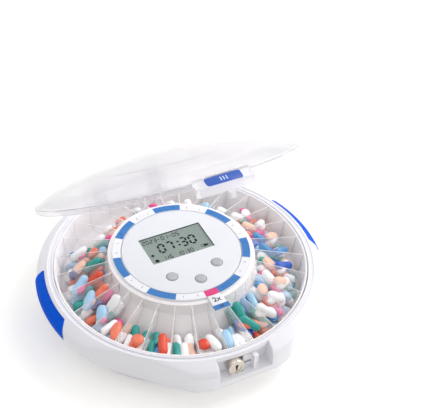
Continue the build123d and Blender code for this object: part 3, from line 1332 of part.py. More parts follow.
with BuildPart() as press_panel:
    with BuildSketch(panel_back):
        RectangleRounded(PANEL_WIDTH, PANEL_HEIGHT, 1.2)
    extrude(amount=PANEL)
    with BuildSketch(slope_plane.offset(-PANEL_SUNK - 0.3)):
        with GridLocations(2.2, 0, 3, 1):
            Rectangle(0.9, 3.6)
    extrude(amount=1, mode=Mode.SUBTRACT)
press_panel.part = press_panel.part.rotate(HINGE_LINE, -LID_OPEN)
press_panel.part.label = "press_panel"
export_step(press_panel.part, "parts/press_panel.step")

boss_r = LATCH_PIN_D / 2 + SHAFT_FIT + LATCH_BOSS
lever_x = PANEL_WIDTH / 2 - CRADLE_X
arm_y = TONGUE_Y + HOOK / 2
hook_rear_y = TONGUE_Y - HOOK / 2
cradle_low = -PANEL_HEIGHT / 2 + 0.4       # along the slope, from the middle of the panel
cradle_high = 0.6


def on_slope(along, depth):
    """Point in Y and Z, up the tab's slope from its middle and below its surface."""
    return (
        slope_mid[0] - along * slope_along[0] - depth * slope_out[0],
        slope_mid[1] - along * slope_along[1] - depth * slope_out[1],
    )


with BuildPart() as latch_lever:
    # cradle under the panel, and the boss that turns on the pin
    with BuildSketch(Plane.YZ.offset(-lever_x)):
        depth = PANEL_SUNK + PANEL
        with BuildLine():
            Polyline(
                on_slope(cradle_low, depth), on_slope(cradle_high, depth), on_slope(cradle_high, depth + CRADLE),
                (-LATCH_Y + 0.9, LATCH_Z + 0.4), (-LATCH_Y - 0.9, LATCH_Z), on_slope(cradle_low, depth + CRADLE),
                close=True,
            )
        make_face()
        with Locations((-LATCH_Y, LATCH_Z)):
            Circle(boss_r)
    extrude(amount=2 * lever_x)
    # arm and hook
    with BuildSketch(Plane.YZ.offset(HOOK_X)):
        with BuildLine():
            Polyline(
                (-arm_y, LATCH_Z), (-arm_y, HOOK_BOTTOM_Z), (-CATCH_REAR_Y + HOOK_CATCH, HOOK_BOTTOM_Z + 0.5),
                (-CATCH_REAR_Y + HOOK_CATCH, HOOK_BOTTOM_Z + HOOK_FOOT), (-hook_rear_y, HOOK_BOTTOM_Z + HOOK_FOOT),
                (-hook_rear_y, LATCH_Z), close=True,
            )
        make_face()
    extrude(amount=HOOK_WIDTH)
    with BuildSketch(Plane.YZ.offset(-lever_x)):
        with Locations((-LATCH_Y, LATCH_Z)):
            Circle(LATCH_PIN_D / 2 + SHAFT_FIT)
    extrude(amount=2 * lever_x, mode=Mode.SUBTRACT)
    # notch that the lock's tongue enters
    with BuildSketch(Plane.XZ.offset(CATCH_REAR_Y - 2 * HOOK_CATCH)):
        with Locations((HOOK_X, LOCK_Z)):
            Rectangle(2 * (LOCK_X + TONGUE_REACH - HOOK_X + RUN_GAP), TONGUE_WIDTH + 2 * RUN_GAP)
    extrude(amount=TONGUE_Y + HOOK - CATCH_REAR_Y + 2 * HOOK_CATCH, mode=Mode.SUBTRACT)
latch_lever.part = latch_lever.part.rotate(HINGE_LINE, -LID_OPEN)
latch_lever.part.label = "latch_lever"
export_step(latch_lever.part, "parts/latch_lever.step")

# ---------------------------------------------------------------- what was made

print("casing", round(2 * BODY_R, 1), "wide; lid", round(lid_top_z, 1), "high when shut")
print("tray", SLOTS, "compartments; gear ratio", GEAR_TEETH / PINION_TEETH)
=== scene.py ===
# %% [markdown]
# # Automatic pill dispenser: the looks
# The casing, gears and hinges come packed from the CAD step. This lesson gives each of them its finish and adds the
# pieces that only the eye needs: soft edges, the printed ring, the digits on the screen and the pills. The frame is
# loaded first, so that every later piece can be put where the CAD says.

import math
import random

import bpy
from mathutils import Matrix, Vector
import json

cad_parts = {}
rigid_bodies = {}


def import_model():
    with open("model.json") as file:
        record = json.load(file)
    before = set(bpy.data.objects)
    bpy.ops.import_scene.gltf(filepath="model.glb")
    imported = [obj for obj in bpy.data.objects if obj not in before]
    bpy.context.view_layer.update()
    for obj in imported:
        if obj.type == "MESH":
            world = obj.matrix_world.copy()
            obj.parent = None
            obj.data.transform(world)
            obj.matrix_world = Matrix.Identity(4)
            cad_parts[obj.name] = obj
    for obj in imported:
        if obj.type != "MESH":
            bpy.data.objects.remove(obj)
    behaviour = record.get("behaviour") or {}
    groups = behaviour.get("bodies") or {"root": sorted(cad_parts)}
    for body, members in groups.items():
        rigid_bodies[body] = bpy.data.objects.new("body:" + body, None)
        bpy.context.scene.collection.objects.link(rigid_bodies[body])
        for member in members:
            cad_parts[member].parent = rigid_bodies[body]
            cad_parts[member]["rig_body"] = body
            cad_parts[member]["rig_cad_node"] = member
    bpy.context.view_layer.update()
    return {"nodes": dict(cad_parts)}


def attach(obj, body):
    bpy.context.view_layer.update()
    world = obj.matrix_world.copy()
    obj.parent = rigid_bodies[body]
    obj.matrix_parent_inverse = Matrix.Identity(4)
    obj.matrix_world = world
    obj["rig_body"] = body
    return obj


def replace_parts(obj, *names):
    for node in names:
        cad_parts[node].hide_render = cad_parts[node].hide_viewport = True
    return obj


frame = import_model()
MM = 0.001

# %% [markdown]
# ## Working by hand, in code
# Every operator works on what is selected. These few helpers do what a hand does between two operators: let go of
# everything, take hold of one piece, and pick its faces, edges or corners by where they are.

# %% Selecting and picking


def done():
    """Back to object mode."""
    bpy.ops.object.mode_set(mode="OBJECT")


def let_go():
    """Object mode, nothing selected."""
    if bpy.context.object and bpy.context.object.mode != "OBJECT":
        done()
    bpy.ops.object.select_all(action="DESELECT")


def hold(*pieces):
    """Select these pieces, the first one active."""
    let_go()
    for piece in pieces:
        piece.select_set(True)
    bpy.context.view_layer.objects.active = pieces[0]
    return pieces[0]


def edit(piece, kind="VERT"):
    """Edit mode on one piece, with nothing picked."""
    hold(piece)
    bpy.ops.object.mode_set(mode="EDIT")
    bpy.ops.mesh.select_mode(type=kind)
    bpy.ops.mesh.select_all(action="DESELECT")


def edit_all(piece, kind="VERT"):
    """Edit mode on one piece, with everything picked."""
    edit(piece, kind)
    bpy.ops.mesh.select_all(action="SELECT")


def pull(x, y, z):
    """Extrude what is picked, by so many millimetres."""
    bpy.ops.mesh.extrude_region_move(TRANSFORM_OT_translate={"value": (x * MM, y * MM, z * MM)})


def pick(piece, test, kind="VERT"):
    """In edit mode, pick the parts whose middle passes the test."""
    edit(piece, kind)
    done()
    mesh = piece.data
    parts = {"VERT": mesh.vertices, "EDGE": mesh.edges, "FACE": mesh.polygons}[kind]
    for part in parts:
        if kind == "VERT":
            middle = part.co
        elif kind == "EDGE":
            middle = (mesh.vertices[part.vertices[0]].co + mesh.vertices[part.vertices[1]].co) / 2
        else:
            middle = part.center
        if test(middle, part):
            part.select = True
    bpy.ops.object.mode_set(mode="EDIT")


let_go()

# %% [markdown]
# A piece is finished in a few steps that come back all the time: its place goes into its mesh, so that it stands at the
# origin unturned, doubled corners are merged, and its shading is made smooth. What repeats is copied with its own mesh.

# %% Finishing, copying and joining


def settle(piece):
    """Put a piece's place, turn and size into its mesh."""
    hold(piece)
    bpy.ops.object.transform_apply(location=True, rotation=True, scale=True)
    return piece


def named(name):
    """The new active piece, under its name."""
    piece = bpy.context.object
    piece.name = piece.data.name = name
    return piece


DOUBLES = 0.002 * MM  # corners nearer than this are one


def tidy_normals(piece):
    """Merge doubles and turn the faces outwards."""
    edit_all(piece)
    bpy.ops.mesh.remove_doubles(threshold=DOUBLES)
    bpy.ops.mesh.normals_make_consistent(inside=False)
    done()
    return piece


def smooth(piece, degrees=30):
    """Smooth shading that keeps the edges sharper than an angle."""
    hold(piece)
    bpy.ops.object.shade_smooth_by_angle(angle=math.radians(degrees))
    return piece


def own_copy(piece, name):
    """A copy with its own mesh."""
    copy = piece.copy()
    copy.data = piece.data.copy()
    copy.name = copy.data.name = name
    bpy.context.scene.collection.objects.link(copy)
    return copy


def shifted(piece, x, y, z=0.0):
    """Move a piece's mesh, in millimetres."""
    piece.data.transform(Matrix.Translation((x * MM, y * MM, z * MM)))
    return piece


def rotated(piece, degrees, axis="Z"):
    """Turn a piece's mesh about an axis through the origin."""
    piece.data.transform(Matrix.Rotation(math.radians(degrees), 4, axis))
    return piece


def join(pieces, name):
    """Several pieces as one."""
    hold(*pieces)
    if len(pieces) > 1:
        bpy.ops.object.join()
    return named(name)


print("corners merge within", round(DOUBLES / MM, 4), "mm")


# %% [markdown]
# ## Round forms
# Most of this object was drawn on a lathe: a line of corners goes round the middle. The line is drawn by extruding one
# corner after another, and the spin operator carries it round. A closed line gives a solid ring.

# %% Drawing a line and spinning it


def draw(name, points, closed=True):
    """A line of corners in the XZ plane, in millimetres, drawn by extruding."""
    let_go()
    bpy.ops.mesh.primitive_plane_add(size=0.001)
    piece = named(name)
    edit_all(piece)
    bpy.ops.mesh.merge(type="CENTER")
    x, z = points[0]
    bpy.ops.transform.translate(value=(x * MM, 0, z * MM))
    for px, pz in points[1:]:
        pull(px - x, 0, pz - z)
        x, z = px, pz
    if closed:
        done()
        pick(piece, lambda middle, corner: corner.index in (0, len(points) - 1))
        bpy.ops.mesh.edge_face_add()
    done()
    return piece


def spin(piece, steps):
    """Carry a drawn line once round the Z axis and close it."""
    edit_all(piece)
    bpy.ops.mesh.spin(steps=steps, angle=math.radians(360), center=(0, 0, 0), axis=(0, 0, 1))
    done()
    return tidy_normals(piece)


def arc_points(a, b, bulge, count):
    """Points from a to b on an arc that stands out to the right of the way by bulge."""
    (ax, az), (bx, bz) = a, b
    length = math.hypot(bx - ax, bz - az)
    if abs(bulge) < 1e-6:
        return [(ax + (bx - ax) * i / count, az + (bz - az) * i / count) for i in range(count + 1)]
    radius = (length**2 / 4 + bulge**2) / (2 * abs(bulge))
    side = 1 if bulge > 0 else -1
    ux, uz = (bx - ax) / length, (bz - az) / length
    nx, nz = uz * side, -ux * side
    cx = (ax + bx) / 2 + nx * (abs(bulge) - radius)
    cz = (az + bz) / 2 + nz * (abs(bulge) - radius)
    start = math.atan2(az - cz, ax - cx)
    turn = math.atan2(bz - cz, bx - cx) - start
    turn = (turn + math.pi) % (2 * math.pi) - math.pi
    return [
        (cx + radius * math.cos(start + turn * i / count), cz + radius * math.sin(start + turn * i / count))
        for i in range(count + 1)
    ]


def around(radius, angle):
    """Plan point in millimetres at an angle from the front, positive towards +X."""
    return radius * math.sin(math.radians(angle)), -radius * math.cos(math.radians(angle))


print("an arc of 4 steps:", [(round(x, 2), round(z, 2)) for x, z in arc_points((0, 0), (10, 0), 2, 4)])

# %% [markdown]
# The rest starts as a block, a plate or a rod, and is bevelled, joined or cut. A boolean keeps a cut true to size, and
# the tool that made it is thrown away.

# %% Blocks, rods and cuts


def cut(piece, tool, operation="DIFFERENCE"):
    """Boolean with a tool that is then thrown away."""
    hold(piece)
    modifier = piece.modifiers.new("cut", "BOOLEAN")
    modifier.operation = operation
    modifier.solver = "EXACT"
    modifier.object = tool
    bpy.ops.object.modifier_apply(modifier="cut")
    bpy.data.objects.remove(tool)
    return piece


def bevelled(piece, width, segments):
    """Every edge rounded, in millimetres."""
    edit_all(piece, "EDGE")
    bpy.ops.mesh.bevel(offset=width * MM, segments=segments)
    done()
    return piece


def block(name, low, high, rounding=0.0, segments=3):
    """A box between two corners in millimetres, its edges rounded by a bevel."""
    let_go()
    bpy.ops.mesh.primitive_cube_add(size=1)
    piece = named(name)
    piece.scale = [(h - l) * MM for l, h in zip(low, high)]
    piece.location = [(h + l) / 2 * MM for l, h in zip(low, high)]
    settle(piece)
    return bevelled(piece, rounding, segments) if rounding else piece


def rod(name, radius, length, middle, corners=48, turn=(0, 0, 0)):
    """A cylinder in millimetres, upright unless it is turned, in degrees."""
    let_go()
    bpy.ops.mesh.primitive_cylinder_add(
        vertices=corners, radius=radius * MM, depth=length * MM, location=[c * MM for c in middle],
        rotation=[math.radians(degrees) for degrees in turn])
    return settle(named(name))


ALONG_X = (0, 90, 0)
print("a rod along X is turned by", ALONG_X)


# %% [markdown]
# ## Materials
# Colours are given as sRGB hex values, but the shader reckons in linear light, so one function turns them.
# Another adds a node with its settings and links, and each finish is then a short recipe.

# %% Colour and node helpers


def hexed(code):
    """An sRGB hex colour as linear RGBA."""
    values = [int(code[i:i + 2], 16) / 255 for i in (0, 2, 4)]
    return [v / 12.92 if v <= 0.04045 else ((v + 0.055) / 1.055) ** 2.4 for v in values] + [1.0]


def put(tree, kind, inputs=None, **settings):
    """Adds a node; each input gets a value, or a link from another node's output."""
    made = tree.nodes.new(kind)
    for key, value in settings.items():
        setattr(made, key, value)
    for socket, value in (inputs or {}).items():
        if isinstance(value, bpy.types.NodeSocket):
            tree.links.new(value, made.inputs[socket])
        else:
            made.inputs[socket].default_value = value
    return made


def finish_named(name):
    """An empty material and its node tree."""
    material = bpy.data.materials.new(name)
    material.use_nodes = True
    material.node_tree.nodes.clear()
    return material, material.node_tree


print("mid grey 808080 in linear light:", [round(v, 3) for v in hexed("808080")[:3]])

# %% [markdown]
# Three recipes cover the object. Moulded plastic and rubber carry the fine grain of the mould. Metal shows the lines of
# its turning or brushing. Clear plastic is part glass and part milk, because every real moulding scatters some light.

# %% Recipes for moulded, metal and clear pieces


def moulded(name, colour, shade, roughness, grain_mm=0.6, depth_mm=0.01, specular=0.5, coat=0.0, blotch_mm=40):
    """Moulded plastic or rubber: a faint drift of colour over the piece and the fine grain of the tool's face."""
    material, tree = finish_named(name)
    place = put(tree, "ShaderNodeTexCoord").outputs["Object"]
    drift = put(tree, "ShaderNodeTexNoise", {"Vector": place, "Scale": 1000 / blotch_mm, "Detail": 2.0})
    mixed = put(tree, "ShaderNodeMix", {"Factor": drift.outputs["Fac"]}, data_type="RGBA")
    mixed.inputs["A"].default_value = hexed(colour)
    mixed.inputs["B"].default_value = hexed(shade)
    grain = put(tree, "ShaderNodeTexNoise", {"Vector": place, "Scale": 1000 / grain_mm, "Detail": 3.0})
    rough = put(tree, "ShaderNodeMapRange", {"Value": grain.outputs["Fac"], "To Min": roughness - 0.04,
                                             "To Max": roughness + 0.04})
    bump = put(tree, "ShaderNodeBump", {"Height": grain.outputs["Fac"], "Distance": depth_mm * MM, "Strength": 0.6})
    shader = put(tree, "ShaderNodeBsdfPrincipled", {
        "Base Color": mixed.outputs["Result"], "Roughness": rough.outputs["Result"], "Normal": bump.outputs["Normal"],
        "Specular IOR Level": specular, "Coat Weight": coat, "Coat Roughness": 0.15})
    put(tree, "ShaderNodeOutputMaterial", {"Surface": shader.outputs["BSDF"]})
    return material


def metal(name, colour, roughness, stretch=(1, 1, 12), grain_mm=0.5, depth_mm=0.012):
    """Turned or brushed metal: fine lines along one way, in the roughness and as shallow scratches."""
    material, tree = finish_named(name)
    place = put(tree, "ShaderNodeTexCoord").outputs["Object"]
    turned = put(tree, "ShaderNodeMapping", {"Vector": place, "Scale": stretch})
    lines = put(tree, "ShaderNodeTexNoise", {"Vector": turned.outputs["Vector"], "Scale": 1000 / grain_mm,
                                             "Detail": 4.0})
    rough = put(tree, "ShaderNodeMapRange", {"Value": lines.outputs["Fac"], "To Min": roughness - 0.08,
                                             "To Max": roughness + 0.1})
    bump = put(tree, "ShaderNodeBump", {"Height": lines.outputs["Fac"], "Distance": depth_mm * MM})
    shader = put(tree, "ShaderNodeBsdfPrincipled", {
        "Base Color": hexed(colour), "Metallic": 1.0, "Roughness": rough.outputs["Result"],
        "Normal": bump.outputs["Normal"]})
    put(tree, "ShaderNodeOutputMaterial", {"Surface": shader.outputs["BSDF"]})
    return material


def clear_moulded(name, colour, roughness, milk, shadow, haze_mm=8.0, ior=1.49, coat=0.0, through=0.5):
    """See-through plastic: a glassy shader mixed with a milky one, which lets lamp light through to what lies
    behind it. milk is the share of the milky body, through how much of that body lets light out at its back, and
    shadow the colour of the light that passes."""
    material, tree = finish_named(name)
    place = put(tree, "ShaderNodeTexCoord").outputs["Object"]
    haze = put(tree, "ShaderNodeTexNoise", {"Vector": place, "Scale": 1000 / haze_mm, "Detail": 2.0})
    rough = put(tree, "ShaderNodeMapRange", {"Value": haze.outputs["Fac"], "To Min": max(roughness - 0.05, 0.0),
                                             "To Max": roughness + 0.05})
    glass = put(tree, "ShaderNodeBsdfPrincipled", {
        "Base Color": hexed(colour), "Roughness": rough.outputs["Result"], "IOR": ior,
        "Transmission Weight": 1.0, "Coat Weight": coat, "Coat Roughness": 0.08})
    body = put(tree, "ShaderNodeBsdfDiffuse", {"Color": hexed(colour)})
    backlit = put(tree, "ShaderNodeBsdfTranslucent", {"Color": hexed(colour)})
    milky = put(tree, "ShaderNodeMixShader", {"Fac": through, 1: body.outputs["BSDF"], 2: backlit.outputs["BSDF"]})
    mixed = put(tree, "ShaderNodeMixShader", {"Fac": milk, 1: glass.outputs["BSDF"], 2: milky.outputs["Shader"]})
    passing = put(tree, "ShaderNodeBsdfTransparent", {"Color": hexed(shadow)})
    ray = put(tree, "ShaderNodeLightPath")
    both = put(tree, "ShaderNodeMixShader", {
        "Fac": ray.outputs["Is Shadow Ray"], 1: mixed.outputs["Shader"], 2: passing.outputs["BSDF"]})
    put(tree, "ShaderNodeOutputMaterial", {"Surface": both.outputs["Shader"]})
    return material


print("grain of 0.6 mm is a noise scale of", round(1000 / 0.6), "a metre")

# %% [markdown]
# The finishes of this object. The casing is satin moulded ABS, a cool white with a touch of lavender in its shade. The
# grips are soft rubber in a strong blue. The tray is a frosted copolymer that blurs what lies behind it, and the lid is
# a clearer one. The lock is nickel-plated zinc, turned on its face. The grain of a mould is 0.2 to 1.2 mm here, coarser
# than the real 0.05 mm, so that it still shows.

# %% Finishes of the moulded plastics and rubbers
# A soft sheen that turns to lavender in the shade, without sharp reflections.
ABS_WHITE = moulded("ABS_moulded_satin_white", "F0EFF4", "ECEBF1", 0.34, grain_mm=0.5, coat=0.1)
# The same plastic from the inside of a mould: greyer and flat.
ABS_INNER = moulded("ABS_moulded_inside", "E4E4EA", "DEDEE6", 0.5)
# A deep even blue with almost no highlight, so the grips read as soft.
RUBBER_BLUE = moulded("TPE_rubber_moulded_blue", "005BE0", "0055D6", 0.55, grain_mm=0.7, depth_mm=0.02,
                      specular=0.08)
# Near black and dull, with a grain that one could feel.
RUBBER_BLACK = moulded("rubber_moulded_black", "1B1B1D", "222226", 0.7, grain_mm=0.8, depth_mm=0.04)
# A warm, waxy off-white, as uncoloured gears have.
ACETAL = moulded("acetal_moulded_natural", "EDEAE0", "E6E2D6", 0.35)
# Black with a broad grey sheen, which keeps small parts readable.
ABS_BLACK = moulded("nylon_moulded_black", "17171A", "202024", 0.45)
# Cooler and smoother than the casing, so the face stands out from it as a film does.
FACE_WHITE = moulded("polycarbonate_printed_face_white", "DCDEE1", "D9DBDF", 0.3, grain_mm=0.3, depth_mm=0.004,
                     coat=0.15)
# Mid grey under a clear varnish: a small bright spot on each dome.
BUTTON_GREY = moulded("silicone_moulded_button_grey", "AEAFB4", "A6A7AC", 0.3, grain_mm=0.4, coat=0.4)
# Pale blue-white ink of the bars, a little duller than the panel round it.
PRESS_BARS = moulded("press_panel_ink_pale", "CFE0FA", "C4D8F6", 0.4)
# Hard glossy blue, darker than the grips.
PRESS_BLUE = moulded("ABS_moulded_press_blue", "1456BE", "114EB0", 0.3, coat=0.3)
print("moulded finishes:", len(bpy.data.materials))

# %% Finishes of the prints and of the screen
# Three even inks under a satin film: a mid blue, a magenta pink and a white that is just off the casing's.
PRINT_BLUE, PRINT_PINK, PRINT_WHITE = (
    moulded("label_film_printed_" + name, colour, shade, 0.35, grain_mm=0.3, depth_mm=0.003)
    for name, colour, shade in (
        ("blue", "2A74B8", "2870B2"), ("pink", "D93378", "D33074"), ("white", "E6E6E9", "E2E2E6")))
# Small dark print, soft enough not to look cut out.
PRINT_INK = moulded("label_ink_dark_grey", "26262C", "202026", 0.5)
# The grey-green of a display without back light, smooth as film.
SCREEN_GREY = moulded("display_polariser_grey_green", "86928A", "808C84", 0.28, grain_mm=0.2, depth_mm=0.002)
# Segments take the light away, so they are near black and have no gloss.
SCREEN_INK = moulded("display_segment_dark", "06090A", "040607", 0.6, specular=0.1)
# A flat clear cover that shows only as a faint reflection.
SCREEN_COVER = clear_moulded("acrylic_cover_clear", "FDFEFE", 0.02, 0.0, "FAFCFC", ior=1.2)
print("with prints and screen:", len(bpy.data.materials))

# %% Finishes of the metals and of the parts inside
# Warm silver with fine turned lines, which make the small highlight of the lock flicker.
NICKEL = metal("zinc_nickel_plated_turned", "C9C2B6", 0.26)
# Cooler and duller than the lock.
STEEL = metal("steel_zinc_plated", "B4B4B8", 0.35)
# Dark green with the slight waviness of poured resin.
SOLDER_GREEN = moulded("epoxy_board_solder_mask_green", "1E6B3C", "185C33", 0.35, grain_mm=1.2)
# The dark tight film of a battery cell, shinier than the holder round it.
CELL_SLEEVE = moulded("shrink_sleeve_dark", "3A3A3F", "2E2E33", 0.3)
# Red resin, half clear, that seems lit from inside.
LED_RED = clear_moulded("LED_epoxy_red", "D23A34", 0.15, 0.4, "D06060")
print("with metals and inner parts:", len(bpy.data.materials))

# %% Finishes of the tray and of the lid
# Almost all milk: the tray looks white and soft, and only hints at what lies behind.
TRAY_FROSTED = clear_moulded("copolymer_moulded_frosted", "FBF8F8", 0.34, 0.9, "F2F1F2", through=0.06)
# The thin walls veil the pills a little and blur them.
TRAY_SHEER = clear_moulded("copolymer_moulded_thin_wall", "FCFBFB", 0.2, 0.15, "F6F5F6", ior=1.1, coat=0.4)
# Painted highlight: the top edges of the walls get a whiter, milkier finish that draws white lines between
# compartments.
TRAY_EDGE_PAINTED_HIGHLIGHT = clear_moulded("copolymer_milky_painted_highlight_edge", "FFFFFF", 0.3, 0.55, "F6F5F6", ior=1.1, through=0.3)
# Clear with a faint grey cast, so the open lid stands out against a white room.
LID_CLEAR = clear_moulded("polycarbonate_moulded_clear", "F1F0F3", 0.08, 0.18, "F6F6F8")
# The tab is thick, so it looks half milky.
LID_MILKY = clear_moulded("polycarbonate_moulded_thick_tab", "FBFAFD", 0.16, 0.5, "F6F6F8", ior=1.2)
print("finishes:", len(bpy.data.materials))

# %% [markdown]
# ## A finer skin for the CAD pieces
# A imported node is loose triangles, which shade flat. A copy is merged, its flat parts are joined up again, and smooth
# shading rounds what should be round. It then stands for the node.

# %% Skins of the CAD nodes


def wear(piece, *materials):
    """These materials in place of the ones it has."""
    piece.data.materials.clear()
    for material in materials:
        piece.data.materials.append(material)


def skin(node, body, material):
    """A merged and smoothed copy of a CAD node that replaces it."""
    piece = own_copy(frame["nodes"][node], node + "_skin")
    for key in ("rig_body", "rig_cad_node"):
        if key in piece:
            del piece[key]
    piece.parent = None
    wear(piece, material)
    edit_all(piece)
    bpy.ops.mesh.remove_doubles(threshold=DOUBLES)
    bpy.ops.mesh.dissolve_limited(angle_limit=math.radians(0.3))
    done()
    smooth(piece, 28)
    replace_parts(piece, node)
    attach(piece, body)
    return piece


def dressed(piece, body, slot, *materials):
    """Give a finished new piece its body, and its materials unless it has them; the slot is not used."""
    if materials:
        wear(piece, *materials)
    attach(piece, body)
    return piece


skin("lower_casing", "base", ABS_WHITE)
skin("left_grip", "base", RUBBER_BLUE)
skin("right_grip", "base", RUBBER_BLUE)
skin("rubber_foot", "base", RUBBER_BLACK)
skin("hub_housing", "base", ABS_INNER)
skin("lcd_window", "base", SCREEN_COVER)
skin("lcd_display", "base", SCREEN_GREY)
skin("tray_gear", "tray", ACETAL)
skin("lock_barrel", "base", NICKEL)
skin("lock_plug", "lock", NICKEL)
skin("lock_cam", "lock", NICKEL)
skin("latch_catch", "base", ABS_WHITE)
skin("hinge_pin", "base", STEEL)
skin("latch_pin", "lid", STEEL)
skin("latch_lever", "press_latch", ABS_WHITE)

# %% [markdown]
# The pieces inside never show with the casing shut, so their CAD meshes stay. Each still gets its real finish.

# %% Finishes of the pieces inside
inside = {
    STEEL: ["casing_screws", "hub_screws", "board_screws", "motor_screws", "motor", "motor_shaft", "motor_bracket",
            "battery_contacts", "lock_clip", "wifi_module"],
    ACETAL: ["drive_pinion"],
    ABS_BLACK: ["battery_holder", "key_switches", "buzzer", "index_sensor", "power_jack"],
    ABS_WHITE: ["battery_door"],
    SOLDER_GREEN: ["circuit_board"],
    CELL_SLEEVE: ["batteries"],
    LED_RED: ["alarm_led"],
}
for material, nodes in inside.items():
    for node in nodes:
        wear(frame["nodes"][node], material)
print("inside:", sum(len(nodes) for nodes in inside.values()), "nodes")

# %% [markdown]
# ## The upper casing
# The real shell is a round bowl whose front was pressed flat on two sides and drawn out to a chin. A boolean of bowl
# and prism gives a knife edge where they meet, so here the bowl is spun first and its corners are then pushed in
# against the flats, with a soft change-over: that makes the rolled edge that catches the light on the real one.

# %% Outline of the casing, in millimetres
BODY_R, PARTING_R, LIP_R, WELL_R = 113.3, 105.5, 104.2, 99.6
PARTING_Z, EQUATOR_Z, RIM_Z, GROOVE_Z = 14.0, 28.0, 38.0, 36.8
FLAT_ANGLE, FLAT_DISTANCE, FRONT_Y = math.radians(43.4), 104.6, 110.5
CHIN_HALF = math.radians(40.2)          # below the widest line, the chin is pressed fully within this angle
CREASE, SIDE_ROLL, FRONT_ROLL = 2.6, 1.6, 2.4  # widths of the soft change-overs: on the shoulder and in plan


def blend_low(a, b, width):
    """The smaller of two numbers, with a soft change-over."""
    h = min(max(0.5 + 0.5 * (b - a) / width, 0.0), 1.0)
    return b + (a - b) * h - width * h * (1 - h)


def plan_reach(angle):
    """How far the plan outline is from the middle, at an angle from the front in radians."""
    angle = abs(angle)
    reach = BODY_R
    facing = math.cos(angle - FLAT_ANGLE)
    if facing > 0.2:
        reach = blend_low(reach, FLAT_DISTANCE / facing, SIDE_ROLL)
    if angle < FLAT_ANGLE:
        reach = min(reach, blend_low(FRONT_Y / math.cos(angle), FLAT_DISTANCE / facing, FRONT_ROLL))
    return reach


lip = (LIP_R, RIM_Z - 0.6)
shoulder = (110.0, 33.4)
widest = (BODY_R, EQUATOR_Z)
seam = (PARTING_R, PARTING_Z)
casing_line = arc_points(seam, widest, 1.4, 16) + arc_points(widest, shoulder, 0.7, 16)[1:]
casing_line += arc_points(shoulder, lip, 0.12, 16)[1:]
casing_line += [(103.95, 37.62), (103.6, 37.55), (103.6, GROOVE_Z), (100.6, GROOVE_Z), (100.6, 37.85), (100.45, RIM_Z),
                (99.8, RIM_Z), (WELL_R, 37.8), (WELL_R, 18.5), (95.8, 11.4), (92.6, 11.4), (92.6, 13.2),
                (91.0, 13.2), (91.0, 11.4), (88.0, 11.4), (88.0, 9.0), (96.3, 9.0), (99.1, PARTING_Z)]
print("corners in the casing's line:", len(casing_line))

# %% [markdown]
# The line is spun in fine steps, and every corner outside the flats is then drawn in along its radius. Only the
# outer shell moves. Below the widest line the front is flat, and above it the shoulder rolls over softly.

# %% Spin the bowl and press its front flat
PRESS_FROM_R, PRESS_TO_Z = 103.8, 37.45  # the well and the rim keep their shape
casing = spin(draw("casing_upper", casing_line), 480)
moved = 0
for vertex in casing.data.vertices:
    x, y, z = (c / MM for c in vertex.co)
    reach = math.hypot(x, y)
    if reach < PRESS_FROM_R or z > PRESS_TO_Z:
        continue
    angle = math.atan2(x, -y)
    limit = plan_reach(angle)
    on_chin = abs(angle) < CHIN_HALF and z < EQUATOR_Z + 0.01
    target = limit if on_chin else blend_low(reach, limit, CREASE)
    if abs(target - reach) > 1e-4:
        vertex.co.x *= target / reach
        vertex.co.y *= target / reach
        moved += 1
print("corners pressed against the flats:", moved)

# %% [markdown]
# The recess for the lock, the hinge's pocket and the grips' seats are cut with booleans. Each tool is a block with
# rounded edges, so that the inner corners of the cut are soft, as a mould leaves them.

# %% Recess, pocket and seats
RECESS_X, SILL_Z, UNDERCUT_Z = 21.6, 19.5, 33.6
RECESS_BACK_R, PIN_BLOCK_X = 101.4, 36.3


def cut_outside(name, radius, low, high, rounding):
    """Cut a rounded block from the casing, but nothing within a radius of the middle."""
    keep = spin(draw(name + "_keep", [(0, 0), (radius, 0), (radius, 70), (0, 70)]), 256)
    cut(casing, cut(block(name + "_tool", low, high, rounding), keep))


cut_outside("recess", LIP_R, (-RECESS_X, -125, SILL_Z), (RECESS_X, -95, 60), 1.2)
cut_outside("undercut", RECESS_BACK_R, (-RECESS_X, -125, SILL_Z), (RECESS_X, -95, UNDERCUT_Z), 1.2)
cut_outside("pocket", LIP_R, (-PIN_BLOCK_X, 101.4, 25.6), (PIN_BLOCK_X, 125, 60), 0.8)
for grip in ("left_grip", "right_grip"):
    seat = own_copy(bpy.data.objects[grip + "_skin"], "seat_tool")
    seat.parent = None
    cut(casing, seat)
JACK_ANGLE = 128.0
cut(casing, rod("jack_tool", 3.5, 16, (*around(109.4, JACK_ANGLE), 21.5), 40, (90, 0, JACK_ANGLE)))
print("casing corners after the cuts:", len(casing.data.vertices))

# %% [markdown]
# Two small things stand on the casing. A saddle with a slot carries the lock, and three lugs hold the hinge pin. Each
# lug is a rod with a rim inset on each end face and a foot, and all of them are joined to the casing as one moulding.

# %% Saddle under the lock and lugs of the hinge
HINGE_Y, HINGE_Z, KNUCKLE_R = 110.8, 31.4, 3.5
saddle = block("saddle", (-10.7, -107.8, 18.9), (-3.3, -101.6, 21.9), 0.4)
cut(saddle, block("slot_tool", (-9.1, -106.55, 16), (3, -104.75, 30)))
cut(casing, block("slot_tool", (-9.1, -106.55, 17.4), (-0.8, -104.75, 20)))
lugs = []
for low, width in ((-19.2, 38.4), (29.8, 6.5), (-PIN_BLOCK_X, 6.5)):
    lug = rod("lug", KNUCKLE_R, width, (low + width / 2, HINGE_Y, HINGE_Z), turn=ALONG_X)
    pick(lug, lambda middle, face: abs(face.normal.x) > 0.9, "FACE")
    bpy.ops.mesh.inset(thickness=2.0 * MM)
    done()
    foot = block("lug_foot", (low, 108.0, 25.0), (low + width, 113.6, HINGE_Z), 0.3)
    lugs += [lug, foot]
casing = join([casing, saddle, *lugs], "casing_upper")
smooth(casing, 32)
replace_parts(casing, "upper_casing", "tray_well", "lock_recess")
dressed(casing, "base", "white_shell", ABS_WHITE)
print("casing with lugs:", len(casing.data.vertices), "corners")

